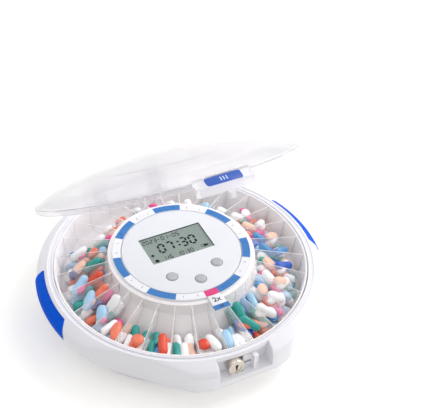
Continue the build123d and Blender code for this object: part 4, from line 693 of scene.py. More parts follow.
# %% [markdown]
# ## The tray, in one line
# The CAD keeps the tray's floor, walls and slope as separate solids for its collision. The eye wants one moulding,
# because light bends at every hidden face of a clear piece. So one closed line goes round the whole section.

# %% Tray moulding
SLOTS, PHASE = 29, -5.4
STEP = 360 / SLOTS
FACE_Z = 48.0
tray_line = [(97.5, 37.6), (98.7, 37.6), (98.9, 37.3), (95.6, 13.6), (95.3, 13.5), (74.1, 13.5), (57.4, 34.1),
             (57.4, 15.6), (56.0, 15.6), (56.0, 21.0), (54.9, 21.0), (54.9, 41.5), (50.8, 41.5), (50.8, 44.2),
             (47.2, 44.2), (47.2, 46.3), (56.7, 46.3), (57.25, 46.05), (57.4, 45.5), (57.4, 37.2), (57.8, 36.2),
             (75.2, 15.9), (75.8, 15.3), (76.6, 15.1), (92.6, 15.1), (93.6, 15.4), (94.2, 16.3), (97.3, 37.4)]
tray = smooth(spin(draw("tray_moulding", tray_line), 232), 40)
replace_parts(tray, "tray_floor", "tray_rim_wall", "tray_slope", "tray_hub_wall")
dressed(tray, "tray", "frosted_tray", TRAY_FROSTED)
print("tray corners:", len(tray.data.vertices))

# %% [markdown]
# The thin walls between the compartments are drawn as an outline from the side and extruded to their thickness, with
# soft edges. One wall is made and turned 29 times. Its upper edge is thinner and gets a whiter, milkier finish, a
# painted highlight for the light that travels inside a clear wall and leaves it there.

# %% The walls of the compartments


def prism(name, outline, low, high, soft=0.0):
    """A plate between two places on X, from its outline given as front distance and height, in millimetres."""
    piece = draw(name, outline)
    edit_all(piece)
    bpy.ops.mesh.edge_face_add()
    pull(0, high - low, 0)
    done()
    tidy_normals(shifted(rotated(piece, -90), low, 0))
    return bevelled(piece, soft, 2) if soft else piece


wall = prism("tray_wall", [(57.6, 45.3), (97.1, 37.5), (94.1, 16.6), (93.4, 15.3), (76.4, 15.2), (57.6, 36.8)],
             -0.68, 0.68, 0.16)
pick(wall, lambda middle, vertex: middle.z > 37.2 * MM)
bpy.ops.transform.resize(value=(0.62, 1, 1), center_override=(0, 0, 0))
done()
wear(wall, TRAY_SHEER, TRAY_EDGE_PAINTED_HIGHLIGHT)
# The top faces get the whiter, milkier finish of the painted highlight.
for face in wall.data.polygons:
    face.material_index = 1 if face.normal.z > 0.3 else 0
walls = [rotated(own_copy(wall, f"tray_wall_{n}"), PHASE + n * STEP) for n in range(SLOTS)]
bpy.data.objects.remove(wall)
walls = smooth(join(walls, "tray_walls"), 40)
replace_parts(walls, "tray_dividers")
dressed(walls, "tray", "frosted_tray")
print("walls:", SLOTS)

# %% [markdown]
# ## Ring, face and buttons
# The dosage ring is a flat band with one tab that points at the dose. The band is spun, and the tab is a block whose
# inner end is drawn narrower.

# %% Dosage ring with its tab
ring = spin(draw("ring_band", [(47.0, 46.35), (47.0, 47.8), (47.2, 48.0), (53.5, 48.0), (53.7, 47.8), (53.7, 46.35)]),
            232)
smooth(ring, 40)
TAB_MID = PHASE + STEP / 2 + 0.22
tab = block("ring_tab", (-6.35, -68.4, 46.8), (6.35, -52.9, FACE_Z), 0.25, 2)
pick(tab, lambda middle, corner: middle.y > -60 * MM)
bpy.ops.transform.resize(value=(0.8, 1, 1), center_override=(0, 0, 0))
done()
ring = smooth(join([ring, rotated(tab, TAB_MID)], "dosage_ring_band"), 40)
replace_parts(ring, "dosage_ring")
dressed(ring, "tray", "ring_blue", PRINT_WHITE)
print("tab at", round(TAB_MID, 2), "degrees from the front")

# %% [markdown]
# The face stands inside the ring. Its rim is rounded all round, and the opening of the screen and the holes of the
# buttons are cut through with booleans, as a tool would leave them.

# %% Face with its openings
face_line = [(0, FACE_Z), (46.1, FACE_Z), (46.35, 47.94), (46.52, 47.77), (46.6, 47.5), (46.6, 43.6), (45.0, 43.6),
             (45.0, 46.4), (0, 46.4)]
face = spin(draw("control_face", face_line, closed=False), 256)
SCREEN_X, SCREEN_Y = 26.3, 9.0
cut(face, block("screen_opening", (-SCREEN_X, SCREEN_Y - 14.9, 40), (SCREEN_X, SCREEN_Y + 14.9, 50)))
BUTTONS = {"left": (-18.9, -23.3), "centre": (0.0, -34.2), "right": (18.9, -23.3)}
for x, y in BUTTONS.values():
    cut(face, rod("button_hole", 4.7, 12, (x, y, 46), 64))
smooth(face, 30)
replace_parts(face, "hub_face")
dressed(face, "base", "white_face", FACE_WHITE)
print("face corners:", len(face.data.vertices))

# %% [markdown]
# Each button is a low dome with a crisp shoulder. Round it stands a short black sleeve down in the hole: painted shade
# that draws the thin shadow line separating a button from its panel.

# %% Buttons
dome = [(0, 49.1), (2.0, 49.06), (3.2, 48.96), (3.35, 48.9), (4.05, 48.35), (4.3, 48.1), (4.38, 47.8), (4.4, 47.0),
        (4.4, 45.2), (0, 45.2)]
key = smooth(spin(draw("button_dome", dome, closed=False), 48), 24)
for side, (x, y) in BUTTONS.items():
    cap = shifted(own_copy(key, "button_cap_" + side), x, y)
    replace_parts(cap, "button_" + side)
    dressed(cap, "button_" + side, "button_grey", BUTTON_GREY)
bpy.data.objects.remove(key)
# Painted shade: a black sleeve in each button's hole stands for the shadow in the gap.
shade_sleeve_line = [(4.44, 47.0), (4.69, 47.0), (4.69, 47.85), (4.44, 47.85)]
shade_sleeves = [shifted(spin(draw("button_gap", shade_sleeve_line), 48), x, y) for x, y in BUTTONS.values()]
dressed(join(shade_sleeves, "button_gaps"), "base", "component_black", ABS_BLACK)
print("buttons:", sorted(BUTTONS))

# %% [markdown]
# ## The lid
# The lid is a shallow dome with a straight skirt. It is drawn shut, as its mould is, and then turned open about the
# hinge pin. The dome is spun from an inner and an outer line, so the wall has its true 2 mm.

# %% Dome
LID_TOP, LID_FOOT, LID_R, LID_OPEN = 59.1, 37.1, 102.9, 36.0


def dome_line(wall):
    """The dome's line from the middle to the skirt, set in by the wall."""
    turn_at = (85 - wall / 3, LID_TOP - 10.9 - wall)
    edge = (LID_R - wall - 0.8, LID_FOOT + 3.5 - wall / 2 + 0.8)
    line = arc_points((0, LID_TOP - wall), turn_at, -2.68, 24)
    (ax, az), (bx, bz) = line[-2:]
    heading = math.atan2(bz - az, bx - ax)
    chord = math.atan2(edge[1] - turn_at[1], edge[0] - turn_at[0])
    bulge = math.hypot(edge[0] - turn_at[0], edge[1] - turn_at[1]) / 2 * math.tan((chord - heading) / 2)
    return line + arc_points(turn_at, edge, bulge, 14)[1:]


outer_line = dome_line(0) + [(102.6, 41.1), (LID_R, 40.6), (LID_R, 37.3), (102.7, LID_FOOT)]
inner_line = dome_line(2.0) + [(100.75, 40.0), (100.9, 39.5), (100.9, 37.3), (101.1, LID_FOOT)]
lid = spin(draw("lid_dome", outer_line + inner_line[::-1], closed=False), 256)
print("dome corners:", len(lid.data.vertices))

# %% [markdown]
# The tab in front has a sloping roof and is hollow below. The two ears run on the hinge pin, and two posts and a round
# rib stiffen the dome from inside. They are joined by booleans, so that no face is left inside the clear wall.

# %% Tab, ears, posts and rib
tab_line = [(98.6, 43.0), (103.2, 43.4), (103.6, 43.25), (110.6, 37.4), (110.8, 37.0), (110.8, 31.5), (104.7, 31.5),
            (104.7, 38.35), (98.6, 38.35)]
cut(lid, prism("lid_tab", tab_line, -21, 21), "UNION")
for middle in (-24.5, 24.5):
    ear = prism("ear", [(-98.0, 38.3), (-98.0, 40.6), (-109.8, 40.6), (-114.3, 34.4), (-114.3, 31.4), (-107.3, 31.4),
                        (-107.3, 38.3)], middle - 5, middle + 5, 0.4)
    cut(lid, ear, "UNION")
    cut(lid, rod("knuckle", KNUCKLE_R, 10, (middle, HINGE_Y, HINGE_Z), turn=ALONG_X), "UNION")
for side in (-43, 43):
    post = draw("post", [(0, 41.6), (1.6, 41.6), (2.0, 42.0), (2.2, 52.6), (0, 52.6)], closed=False)
    cut(lid, shifted(spin(post, 32), side, 45), "UNION")
rib = spin(draw("lid_rib", [(56.4, 51.3), (57.2, 51.3), (57.4, 51.5), (57.4, 52.6), (56.2, 52.6), (56.2, 51.5)]), 192)
cut(lid, rib, "UNION")
under = [(103.5, 41.2), (109.3, 36.35), (109.3, 30.0), (103.5, 30.0)]
cut(lid, prism("tab_hollow", under, -19.5, 19.5))
print("lid with tab and ears:", len(lid.data.vertices), "corners")

# %% [markdown]
# The opening for the press panel is cut square to the slope of the tab, with round corners. A matrix brings a tool that
# was made flat at the origin onto the slope. The bore for the pin goes through both ears. The lid is then swung open.

# %% Opening, bore and opening angle


def plate(name, low, high, corner, edge=0.0):
    """A block whose upright edges are rounded, and then the edges of its top."""
    piece = block(name, low, high)
    corners = piece.data.vertices
    pick(piece, lambda middle, e: abs(corners[e.vertices[0]].co.z - corners[e.vertices[1]].co.z) > 1e-5, "EDGE")
    bpy.ops.mesh.bevel(offset=corner * MM, segments=6)
    if edge:
        pick(piece, lambda middle, e: middle.z > high[2] * MM - 1e-6, "EDGE")
        bpy.ops.mesh.bevel(offset=edge * MM, segments=3)
    done()
    return piece


ON_SLOPE = Matrix.Translation((0, -107.1 * MM, 40.3 * MM)) @ Matrix.Rotation(math.radians(39.96), 4, "X")
opening = plate("panel_opening", (-14.05, -4.45, -2.5), (14.05, 4.45, 1.0), 2.4)
opening.data.transform(ON_SLOPE)
cut(lid, opening)
cut(lid, rod("pin_bore", 1.6, 80, (0, HINGE_Y, HINGE_Z), 32, ALONG_X))


def swung(piece):
    """Turn a piece drawn shut to the lid's open place."""
    pin = Matrix.Translation((0, HINGE_Y * MM, HINGE_Z * MM))
    piece.data.transform(pin @ Matrix.Rotation(math.radians(-LID_OPEN), 4, "X") @ pin.inverted())
    return piece


wear(lid, LID_CLEAR, LID_MILKY)
for face in lid.data.polygons:
    on_tab = face.center.y < -103.1 * MM and abs(face.center.x) < 21.2 * MM
    face.material_index = 1 if on_tab else 0
smooth(swung(lid), 32)
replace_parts(lid, "lid_shell")
dressed(lid, "lid", "clear_lid")
print("lid corners:", len(lid.data.vertices))

# %% [markdown]
# The press panel is a rounded plate that lies just below the tab's roof. The real one carries a word and a sign, and
# this one has three plain bars that mark where to press.

# %% Press panel with pale bars
press = plate("press_panel_cap", (-13.6, -4.0, -1.4), (13.6, 4.0, -0.2), 2.0, 0.35)
press.data.transform(ON_SLOPE)
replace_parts(smooth(swung(press), 40), "press_panel")
dressed(press, "press_latch", "press_blue", PRESS_BLUE)
marks = [block("panel_bar", (x - 0.45, -1.8, -0.24), (x + 0.45, 1.8, -0.12), 0.1, 1) for x in (-2.2, 0.0, 2.2)]
panel_bars = join(marks, "panel_bars")
panel_bars.data.transform(ON_SLOPE)
dressed(swung(panel_bars), "press_latch", "press_blue", PRESS_BARS)
print("bars on the panel:", len(marks))

# %% [markdown]
# ## The printed ring
# Each compartment has its own field on the ring: two blue, two white and so on, and one pink field at the start. One
# field is spun from a short line and the rest are copies, turned by a twenty-ninth of a circle. They lie a hair above
# the ring, as printed film does.

# %% Coloured fields
RING_LOW, RING_HIGH = 47.25, 53.45
first = draw("ring_field", [(RING_LOW, FACE_Z + 0.03), (RING_HIGH, FACE_Z + 0.03)], closed=False)
edit_all(first)
bpy.ops.mesh.spin(steps=8, angle=math.radians(STEP), center=(0, 0, 0), axis=(0, 0, 1))
done()
rotated(first, -90 + PHASE + STEP)
fields = []
for index in range(SLOTS):
    if index == 0:
        film = PRINT_PINK
    else:
        film = PRINT_WHITE if ((index - 1) // 2) % 2 else PRINT_BLUE
    field = rotated(own_copy(first, f"ring_field_{index}"), index * STEP)
    wear(field, film)
    fields.append(field)
bpy.data.objects.remove(first)
ring_print = join(fields, "ring_print")
edit_all(ring_print, "FACE")
bpy.ops.mesh.normals_make_consistent(inside=False)
pull(0, 0, -0.06)
bpy.ops.mesh.select_all(action="SELECT")
bpy.ops.mesh.normals_make_consistent(inside=False)
done()
dressed(ring_print, "tray", "ring_blue")
print("fields on the ring:", SLOTS)

# %% [markdown]
# The numerals are text objects turned into meshes: plain 1 and 2 in turn on the ring, and the dose on its tab. The
# outer end of the tab has a blue field with its edges broken.

# %% Plain numerals and the tab's field


def numeral(text, size_mm, radius, angle, z, name, weight=0.0):
    """A flat numeral on the ring, its head towards the middle."""
    let_go()
    bpy.ops.object.text_add()
    piece = bpy.context.object
    piece.data.body = text
    piece.data.align_x = "CENTER"
    piece.data.align_y = "CENTER"
    piece.data.size = size_mm * MM
    piece.data.extrude = 0.02 * MM
    piece.data.offset = weight * MM
    bpy.ops.object.convert(target="MESH")
    piece = named(name)
    x, y = around(radius, angle)
    piece.rotation_euler = (0, 0, math.radians(angle))
    piece.location = (x * MM, y * MM, z * MM)
    return settle(piece)


digits = []
for index in range(1, SLOTS):
    mid_angle = PHASE + (index + 0.5) * STEP
    digits.append(numeral("1" if index % 2 else "2", 2.6, 50.3, mid_angle, FACE_Z + 0.05, f"numeral_{index}"))
digits.append(numeral("2x", 6.4, 58.4, TAB_MID, FACE_Z + 0.05, "numeral_tab", 0.1))
digits.append(numeral("14", 3.6, 66.0, TAB_MID, FACE_Z + 0.05, "numeral_tab_outer", 0.06))
dressed(join(digits, "ring_numerals"), "tray", "ring_blue", PRINT_INK)

tab_field = rotated(block("tab_field", (-6.6, -68.4, FACE_Z - 0.03), (6.6, -63.6, FACE_Z + 0.03)), TAB_MID)
pick(tab_field, lambda middle, edge: abs(middle.z - FACE_Z * MM) < 0.001 * MM, "EDGE")
bpy.ops.mesh.bevel(offset=0.3 * MM, segments=2)
done()
dressed(tab_field, "tray", "ring_blue", PRINT_BLUE)
print("numerals:", len(digits))

# %% [markdown]
# ## The screen
# A display of this sort shows seven-segment digits: each is made of up to seven bars. One bar is modelled with pointed
# ends, and every digit is copies of it, some upright and some lying.

# %% One bar
BARS = {"0": "abcdef", "1": "bc", "2": "abged", "3": "abgcd", "4": "fgbc", "5": "afgcd", "6": "afgecd", "7": "abc",
        "8": "abcdefg", "9": "abcdfg", "-": "g"}
WHERE = {"a": (0, 1, 0), "b": (0.5, 0.5, 1), "c": (0.5, -0.5, 1), "d": (0, -1, 0), "e": (-0.5, -0.5, 1),
         "f": (-0.5, 0.5, 1), "g": (0, 0, 0)}
SCREEN_Z, MARK_T = 46.3, 0.03
PULL_TIPS = 0.4


def bar(length, thick, name):
    """One bar: a flat block whose ends are drawn to a point."""
    piece = block(name, (-length / 2, -thick / 2, 0), (length / 2, thick / 2, MARK_T))
    for way in (-1, 1):
        pick(piece, lambda middle, face: face.normal.x * way > 0.9, "FACE")
        pull(way * thick * PULL_TIPS, 0, 0)
        bpy.ops.transform.resize(value=(1, 0.12, 1), center_override=(0, 0, 0))
        done()
    return piece


print("bars of the digit 8:", BARS["8"])

# %% Rows of digits


def digits_at(text, x, y, height, name, thick=0.19):
    """A row of digits that starts at x, y in millimetres."""
    width = height * 0.5
    stroke = height * thick
    flat = bar(width - stroke * 1.3, stroke, name + "_bar")
    made = []
    for sign in text:
        if sign == ":":
            for dy in (0.22, -0.22):
                middle = y + dy * height
                made.append(block(name + "_dot", (x - stroke / 2, middle - stroke / 2, 0),
                                  (x + stroke / 2, middle + stroke / 2, MARK_T)))
            x += stroke * 2.6
            continue
        if sign == "/":
            slash = own_copy(flat, name + "_slash")
            slash.data.transform(Matrix.Translation((x * MM, y * MM, 0)) @ Matrix.Rotation(1.2, 4, "Z")
                                 @ Matrix.Scale(1.9, 4, (1, 0, 0)))
            made.append(slash)
            x += width * 1.3
            continue
        for segment in BARS[sign]:
            dx, dy, upright = WHERE[segment]
            one = own_copy(flat, name + "_segment")
            turn = Matrix.Rotation(math.radians(90), 4, "Z") if upright else Matrix.Identity(4)
            if upright:
                turn = turn @ Matrix.Scale((height / 2 - stroke * 1.3) / (width - stroke * 1.3), 4, (1, 0, 0))
            shift = Matrix.Translation(((x + dx * width + dy * stroke * 0.18) * MM, (y + dy * height / 2) * MM, 0))
            one.data.transform(shift @ turn)
            made.append(one)
        x += width * 1.62
    bpy.data.objects.remove(flat)
    return made


rows = digits_at("07:30", -12.6, SCREEN_Y + 0.3, 9.0, "time")
rows += digits_at("2023-01-05", -23.4, SCREEN_Y + 10.8, 4.0, "date")
rows += digits_at("1/6", -15.0, SCREEN_Y - 10.6, 3.9, "dose")
rows += digits_at("10:30", -3.0, SCREEN_Y - 10.6, 3.9, "alarm")
print("bars on the screen:", len(rows))

# %% [markdown]
# The small signs are generic: a bell, a cell and a drop. A frame is a block whose two flat faces are inset and then
# deleted, which leaves its rim.

# %% Bell, cell and drop, and the painted shade line round the display


def framed(name, low, high):
    """A flat rim between two corners in plan."""
    piece = block(name, (*low, 0), (*high, MARK_T))
    pick(piece, lambda middle, face: abs(face.normal.z) > 0.9, "FACE")
    bpy.ops.mesh.inset(thickness=0.35 * MM)
    bpy.ops.mesh.delete(type="FACE")
    done()
    return piece


BELL_X, BELL_Y = -21.5, SCREEN_Y - 11.0
bell = rod("bell_body", 1.5, MARK_T, (BELL_X, BELL_Y, MARK_T / 2), 24)
pick(bell, lambda middle, corner: middle.y < (SCREEN_Y - 11.3) * MM)
bpy.ops.transform.resize(value=(1.5, 1, 1), center_override=(BELL_X * MM, BELL_Y * MM, 0))
done()
signs = [
    bell, rod("bell_clapper", 0.5, MARK_T, (BELL_X, SCREEN_Y - 12.9, MARK_T / 2), 24),
    framed("cell_sign", (16.6, SCREEN_Y - 11.4), (22.2, SCREEN_Y - 8.6)),
    block("cell_tip", (22.2, SCREEN_Y - 10.6, 0), (22.8, SCREEN_Y - 9.4, MARK_T)),
    block("cell_charge", (18.8, SCREEN_Y - 10.9, 0), (21.7, SCREEN_Y - 9.1, MARK_T)),
    rod("drop_sign", 1.3, MARK_T, (-22.4, SCREEN_Y - 4.6, MARK_T / 2), 24),
    # Painted shade: a thin dark rim round the display stands for the shaded walls of its recess.
    framed("screen_edge_painted_shade", (-26.4, SCREEN_Y - 14.9), (26.4, SCREEN_Y + 14.9)),
]
marks = shifted(join(rows + signs, "screen_marks"), 0, 0, SCREEN_Z + 0.02)
dressed(marks, "base", "screen", SCREEN_INK)
print("signs:", len(signs))

# %% [markdown]
# ## The pills
# A pill's coat is a thin film of coloured sugar or gelatine. Capsules in strong colours are glossier than pale tablets,
# which look powdery, so each colour has its own roughness, and the smooth ones get a clear coat.

# %% Coats of the pills
PILL_COLOURS = {
    "teal": ("009A90", 0.25), "pink": ("EE4C96", 0.28), "orange": ("E23E08", 0.28), "coral": ("EE7452", 0.3),
    "peach": ("F8CDB6", 0.4), "white": ("F8F8F8", 0.4), "sky": ("A6D2F0", 0.3), "royal": ("0E58C4", 0.22),
    "navy": ("08267E", 0.22), "mid": ("4A92CC", 0.25),
}
PILL = {}
for colour, (code, roughness) in PILL_COLOURS.items():
    dyed = "".join(f"{int(int(code[i:i + 2], 16) * 0.94):02X}" for i in (0, 2, 4))
    PILL[colour] = moulded("pill_coating_" + colour, code, dyed, roughness, grain_mm=0.4, depth_mm=0.01,
                           coat=0.4 if roughness < 0.35 else 0.0, blotch_mm=12)
print("coats:", sorted(PILL))

# %% [markdown]
# Five shapes are enough: two capsules of two halves each, a caplet, an oval and a round tablet. Capsules are spun. The
# tablets start as spheres whose corners are pushed out to a squarer curve, which no operator does, so the corners are
# moved in code. Each is made once, larger than the smallest real sizes, as the photographed ones are.

# %% Shapes of the pills


def capsule(length, width, name):
    """A capsule along X: a spun line whose cap half stands a little proud of the body half."""
    r = width / 2
    half = length / 2
    line = [(0, -half)] + [(r * 0.96 * math.sin(t), -half + r * (1 - math.cos(t))) for t in (0.45, 0.85, 1.2, 1.57)]
    line += [(r * 0.96, -0.6), (r, -0.5), (r, half - r)]
    line += [(r * math.cos(t), half - r + r * math.sin(t)) for t in (0.4, 0.8, 1.2)] + [(0, half)]
    piece = spin(draw(name, line, closed=False), 20)
    return smooth(rotated(piece, 90, "Y"), 50)


def tablet(length, width, thick, name):
    """A tablet along X: a sphere whose corners are pushed out towards a block."""
    let_go()
    bpy.ops.mesh.primitive_uv_sphere_add(segments=20, ring_count=12, radius=0.5)
    piece = named(name)
    for vertex in piece.data.vertices:
        x, y, z = vertex.co * 2
        z = math.copysign(abs(z) ** 0.7, z)
        vertex.co = (x * length / 2 * MM, y * width / 2 * MM, z * thick / 2 * MM)
    if length > width * 1.3:
        for vertex in piece.data.vertices:
            x = vertex.co.x / (length / 2 * MM)
            vertex.co.x = math.copysign(abs(x) ** 0.75, x) * length / 2 * MM
    return smooth(piece, 60)


SHAPES = {
    "capsule": capsule(18.0, 6.9, "pill_capsule"),
    "small_capsule": capsule(15.4, 6.0, "pill_small_capsule"),
    "caplet": tablet(16.5, 7.6, 5.8, "pill_caplet"),
    "oval": tablet(13.6, 8.4, 6.0, "pill_oval"),
    "round": tablet(9.6, 9.6, 4.8, "pill_round"),
}
print("pill shapes:", sorted(SHAPES))

# %% [markdown]
# The heaps are laid by rule, not simulated: a bottom row on the flat floor, another across it, and one or two on the
# slope. A spot is given by its radius, its distance sideways, its height and the pill's turn and dip in degrees.

# %% Spots in a compartment
SLOPE_DIP = 49.0
SLOPE_OUT, SLOPE_UP, SLOPE_RISE = 0.755, 0.656, 1.1505  # sine, cosine and tangent of the slope as it is drawn
SLOPE_FOOT_R, TRAY_FLOOR_Z = 76, 15.1


def slope_spot(radius, side, above, turn, lift=0):
    """A spot above the tray's slope, square to it, for a pill that dips with the slope, less a lift."""
    height = TRAY_FLOOR_Z + SLOPE_RISE * (SLOPE_FOOT_R - radius) + above * SLOPE_UP
    return radius + above * SLOPE_OUT, side, height, turn, SLOPE_DIP - lift


IN_FRONT = [
    (85.6, -5.2, 26.6, 4, 2), (86.4, 0.6, 27.4, -5, 4), (85.4, 5.6, 26.2, 3, -2), (85.6, 2.8, 33.4, 18, 8),
    (85.0, -3.8, 32.8, -12, 6), (77.6, -3.6, 25.8, 12, 30), (77.4, 3.8, 25.4, -8, 28),
    (85.2, -4.6, 18.9, 0, 0), (85.6, 3.4, 18.9, 0, 0),
]
IN_REAR = [
    slope_spot(70.5, -2.6, 9.8, 16, 8), slope_spot(71.0, 3.8, 10.0, -14, 12), slope_spot(62.8, 0.4, 8.8, -8, 6),
    (80.2, 0.6, 32.0, 58, 10), (80.6, 4.2, 25.6, 22, 12), (81.4, -3.8, 25.2, -14, 8),
    slope_spot(69.0, 0.8, 15.6, 34, 14),
    slope_spot(64.2, -2.8, 3.6, 6), slope_spot(64.6, 3.2, 3.6, -6),
    slope_spot(73.2, -4.2, 3.6, 0), slope_spot(73.4, 3.8, 3.6, 0),
    (82.4, -4.4, 18.9, 0, 0), (82.8, 4.0, 18.9, 0, 0),
]
AT_BACK = [slope_spot(62.6, -2.6, 3.6, 4), slope_spot(63.0, 3.0, 3.6, -4), slope_spot(64.0, 0.2, 8.2, 8)]
print("spots:", len(IN_FRONT), len(IN_REAR), len(AT_BACK))

# %% [markdown]
# The coats of the pills that can be seen best were chosen compartment by compartment from the dose tab round.
# "none" leaves a spot free, and a plus sign gives a capsule two colours. Dice choose the coats of all the others.

# %% Colours by compartment
MIX = ["teal", "pink", "white", "sky", "peach", "white", "sky", "royal", "coral", "white", "teal", "white", "mid",
       "peach"]
FRONT = {
    0: "sky white white none sky white sky",
    1: "royal peach teal coral pink white teal",
    2: "teal peach sky white mid peach white mid",
    3: "orange white peach white white",
    4: "pink teal white white sky",
    5: "coral royal peach white sky",
    6: "teal pink mid white peach",
    7: "peach pink mid white",
    8: "pink teal peach white coral sky white",
    9: "teal peach white pink white coral white",
    16: "peach white coral sky",
    17: "coral peach white peach",
    18: "pink teal white white teal",
    19: "teal peach coral pink sky mid",
    20: "white peach teal navy coral white peach",
    21: "white teal orange pink sky white",
    22: "white navy coral peach white teal",
    23: "white teal white pink sky coral",
    24: "peach sky white coral white pink",
    25: "white coral white coral none teal teal pink pink",
    26: "teal navy+mid white orange none teal coral",
    27: "teal white peach none none white white",
    28: "navy+white white peach white orange none none",
}
print("compartments with listed colours:", len(FRONT))

# %% [markdown]
# A seeded dice roll gives each pill its kind and a small turn, so the same heap comes out every time. Strong colours
# are always capsules.

# %% Heap the pills
dice = random.Random(29)
KINDS = ["capsule", "caplet", "oval", "small_capsule", "caplet", "round"]


def laid(kind, colour, angle, radius, side, z, yaw, pitch, name):
    """One pill at a polar place: radius and sideways in millimetres, turned by yaw from the outward way."""
    piece = own_copy(SHAPES[kind], name)
    x, y = around(radius, angle)
    sx, sy = math.cos(math.radians(angle)), math.sin(math.radians(angle))
    outward = math.atan2(y, x)
    turn = Matrix.Rotation(outward, 4, "Z") @ Matrix.Rotation(math.radians(pitch), 4, "Y")
    turn = turn @ Matrix.Rotation(math.radians(yaw), 4, "Z")
    middle = Vector(((x + sx * side) * MM, (y + sy * side) * MM, z * MM))
    piece.data.transform(Matrix.Translation(middle) @ turn)
    colours = colour.split("+")
    wear(piece, *[PILL[one] for one in colours])
    if len(colours) > 1:
        axis = (turn @ Vector((1, 0, 0, 0))).to_3d()
        for face in piece.data.polygons:
            if (face.center - middle).dot(axis) > 0:
                face.material_index = 1
    return piece


heaps = []
for index in range(SLOTS):
    mid_angle = PHASE + (index + 0.5) * STEP
    colours = FRONT[index].split() if index in FRONT else [dice.choice(MIX) for _ in range(6)]
    spots = IN_FRONT if index == 0 or index >= 24 else AT_BACK if 10 <= index <= 18 else IN_REAR
    for number, (radius, side, z, yaw, pitch) in enumerate(spots):
        colour = colours[number] if number < len(colours) else dice.choice(MIX)
        if colour == "none":
            continue
        kind = "capsule" if "+" in colour else KINDS[dice.randrange(len(KINDS))]
        if colour in ("teal", "navy", "royal", "mid") and kind != "small_capsule":
            kind = "capsule"
        piece = laid(kind, colour, mid_angle, radius + dice.uniform(-0.6, 0.6), side + dice.uniform(-0.4, 0.4),
                     z + dice.uniform(-0.2, 0.3), yaw + dice.uniform(-8, 8), pitch + dice.uniform(-4, 4),
                     f"pill_{index}_{number}")
        heaps.append(piece)
for piece in heaps:
    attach(piece, "tray")
for shape in SHAPES.values():
    bpy.data.objects.remove(shape)
print("pills:", len(heaps))

# %% [markdown]
# ## Floor, light and camera
# The stage is a plain pale floor. Seen directly it glows a little, so that it comes out as the white of a studio and
# keeps only the shadow of the object. Rays that light other things see it without the glow.

# %% Floor
let_go()
bpy.ops.mesh.primitive_plane_add(size=6)
floor = named("studio_floor")
# Matt emulsion paint, rolled on: an even warm white with no reflection.
floor_paint, tree = finish_named("studio_floor_matt_white")
matt = put(tree, "ShaderNodeBsdfDiffuse", {"Color": hexed("F4F3F0")})
glow = put(tree, "ShaderNodeEmission", {"Color": (1, 1, 1, 1), "Strength": 0.26})
added = put(tree, "ShaderNodeAddShader", {0: matt.outputs["BSDF"], 1: glow.outputs["Emission"]})


def seen_directly(tree):
    """1 on rays from the camera, from a mirror-like face or through glass, and 0 on rays that only light."""
    ray = put(tree, "ShaderNodeLightPath")
    by_mirror = put(tree, "ShaderNodeMath", {0: ray.outputs["Is Camera Ray"], 1: ray.outputs["Is Glossy Ray"]},
                    operation="MAXIMUM")
    by_glass = put(tree, "ShaderNodeMath", {0: by_mirror.outputs[0], 1: ray.outputs["Is Transmission Ray"]},
                   operation="MAXIMUM")
    return by_glass.outputs[0]


chosen = put(tree, "ShaderNodeMixShader", {
    "Fac": seen_directly(tree), 1: matt.outputs["BSDF"], 2: added.outputs["Shader"]})
put(tree, "ShaderNodeOutputMaterial", {"Surface": chosen.outputs["Shader"]})
wear(floor, floor_paint)
print("floor:", [round(size, 2) for size in floor.dimensions], "m")

# %% [markdown]
# The photographer used big soft lights: one from the right and behind, a weak one from the front that opens the shade,
# one from above and one low from the right. The white room itself gives the rest, and the backdrop is plain white.

# %% World and lamps
scene = bpy.context.scene
world = bpy.data.worlds.new("studio")
scene.world = world
world.use_nodes = True
world.node_tree.nodes.clear()
air = world.node_tree
lighting = put(air, "ShaderNodeBackground", {"Color": hexed("FAFAFA"), "Strength": 0.61})
backdrop = put(air, "ShaderNodeBackground", {"Color": (1, 1, 1, 1), "Strength": 1.0})
sky = put(air, "ShaderNodeMixShader", {
    "Fac": seen_directly(air), 1: lighting.outputs["Background"], 2: backdrop.outputs["Background"]})
put(air, "ShaderNodeOutputWorld", {"Surface": sky.outputs["Shader"]})


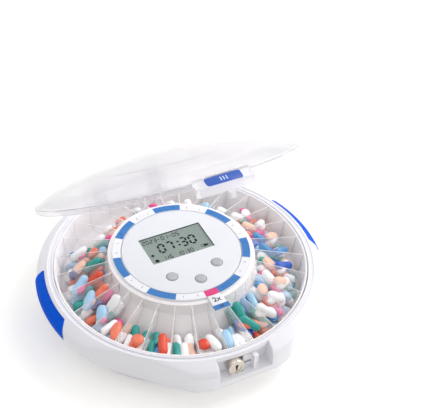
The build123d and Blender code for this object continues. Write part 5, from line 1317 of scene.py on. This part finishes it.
def lamp(name, place, size, power, aim=(0, 0, 0.03)):
    """A soft square lamp aimed at the object."""
    light = bpy.data.lights.new(name, "AREA")
    light.size = size
    light.energy = power
    made = bpy.data.objects.new(name, light)
    scene.collection.objects.link(made)
    made.location = place
    made.rotation_mode = "QUATERNION"
    made.rotation_quaternion = (Vector(aim) - Vector(place)).to_track_quat("-Z", "Y")


lamp("key_lamp", (0.75, 0.15, 0.75), 0.7, 4.8)
lamp("front_lamp", (-0.3, -1.0, 0.6), 0.9, 0.9)
lamp("top_lamp", (-0.2, 0.35, 1.1), 0.8, 2.0)
lamp("side_lamp", (0.95, -0.6, 0.3), 0.7, 2.6)
print("lamps:", sorted(light.name for light in bpy.data.lights))

# %% [markdown]
# The camera stands where the photographer's stood, worked out from the round forms and the screen: its way round, its
# height and its tilt in degrees, its distance in millimetres and its focal length in pixels.

# %% Camera
AZIMUTH, ELEVATION, ROLL = math.radians(-29.14), math.radians(40.92), math.radians(3.12)
DISTANCE, FOCAL_PX, AIM_X, AIM_Y = 841.98, 1076.33, -37.77, 55.43
IMAGE_WIDTH_PX, SENSOR_MM = 438, 36.0
back = Vector((math.sin(AZIMUTH) * math.cos(ELEVATION), -math.cos(AZIMUTH) * math.cos(ELEVATION),
               math.sin(ELEVATION)))
right = Vector((math.cos(AZIMUTH), math.sin(AZIMUTH), 0))
up = back.cross(right)
right, up = (right * math.cos(ROLL) + up * math.sin(ROLL), up * math.cos(ROLL) - right * math.sin(ROLL))
place = back * DISTANCE - right * (AIM_X / FOCAL_PX * DISTANCE) + up * (AIM_Y / FOCAL_PX * DISTANCE)
place += Vector((0, 0, RIM_Z))
camera = bpy.data.objects.new("camera", bpy.data.cameras.new("camera"))
scene.collection.objects.link(camera)
camera.matrix_world = Matrix.Translation(place * MM) @ Matrix((right, up, back)).transposed().to_4x4()
camera.data.sensor_width = SENSOR_MM
camera.data.lens = FOCAL_PX * SENSOR_MM / IMAGE_WIDTH_PX
camera.data.clip_start = 0.05
scene.camera = camera
scene.view_settings.view_transform = "Standard"
print("lens:", round(camera.data.lens, 2), "mm")
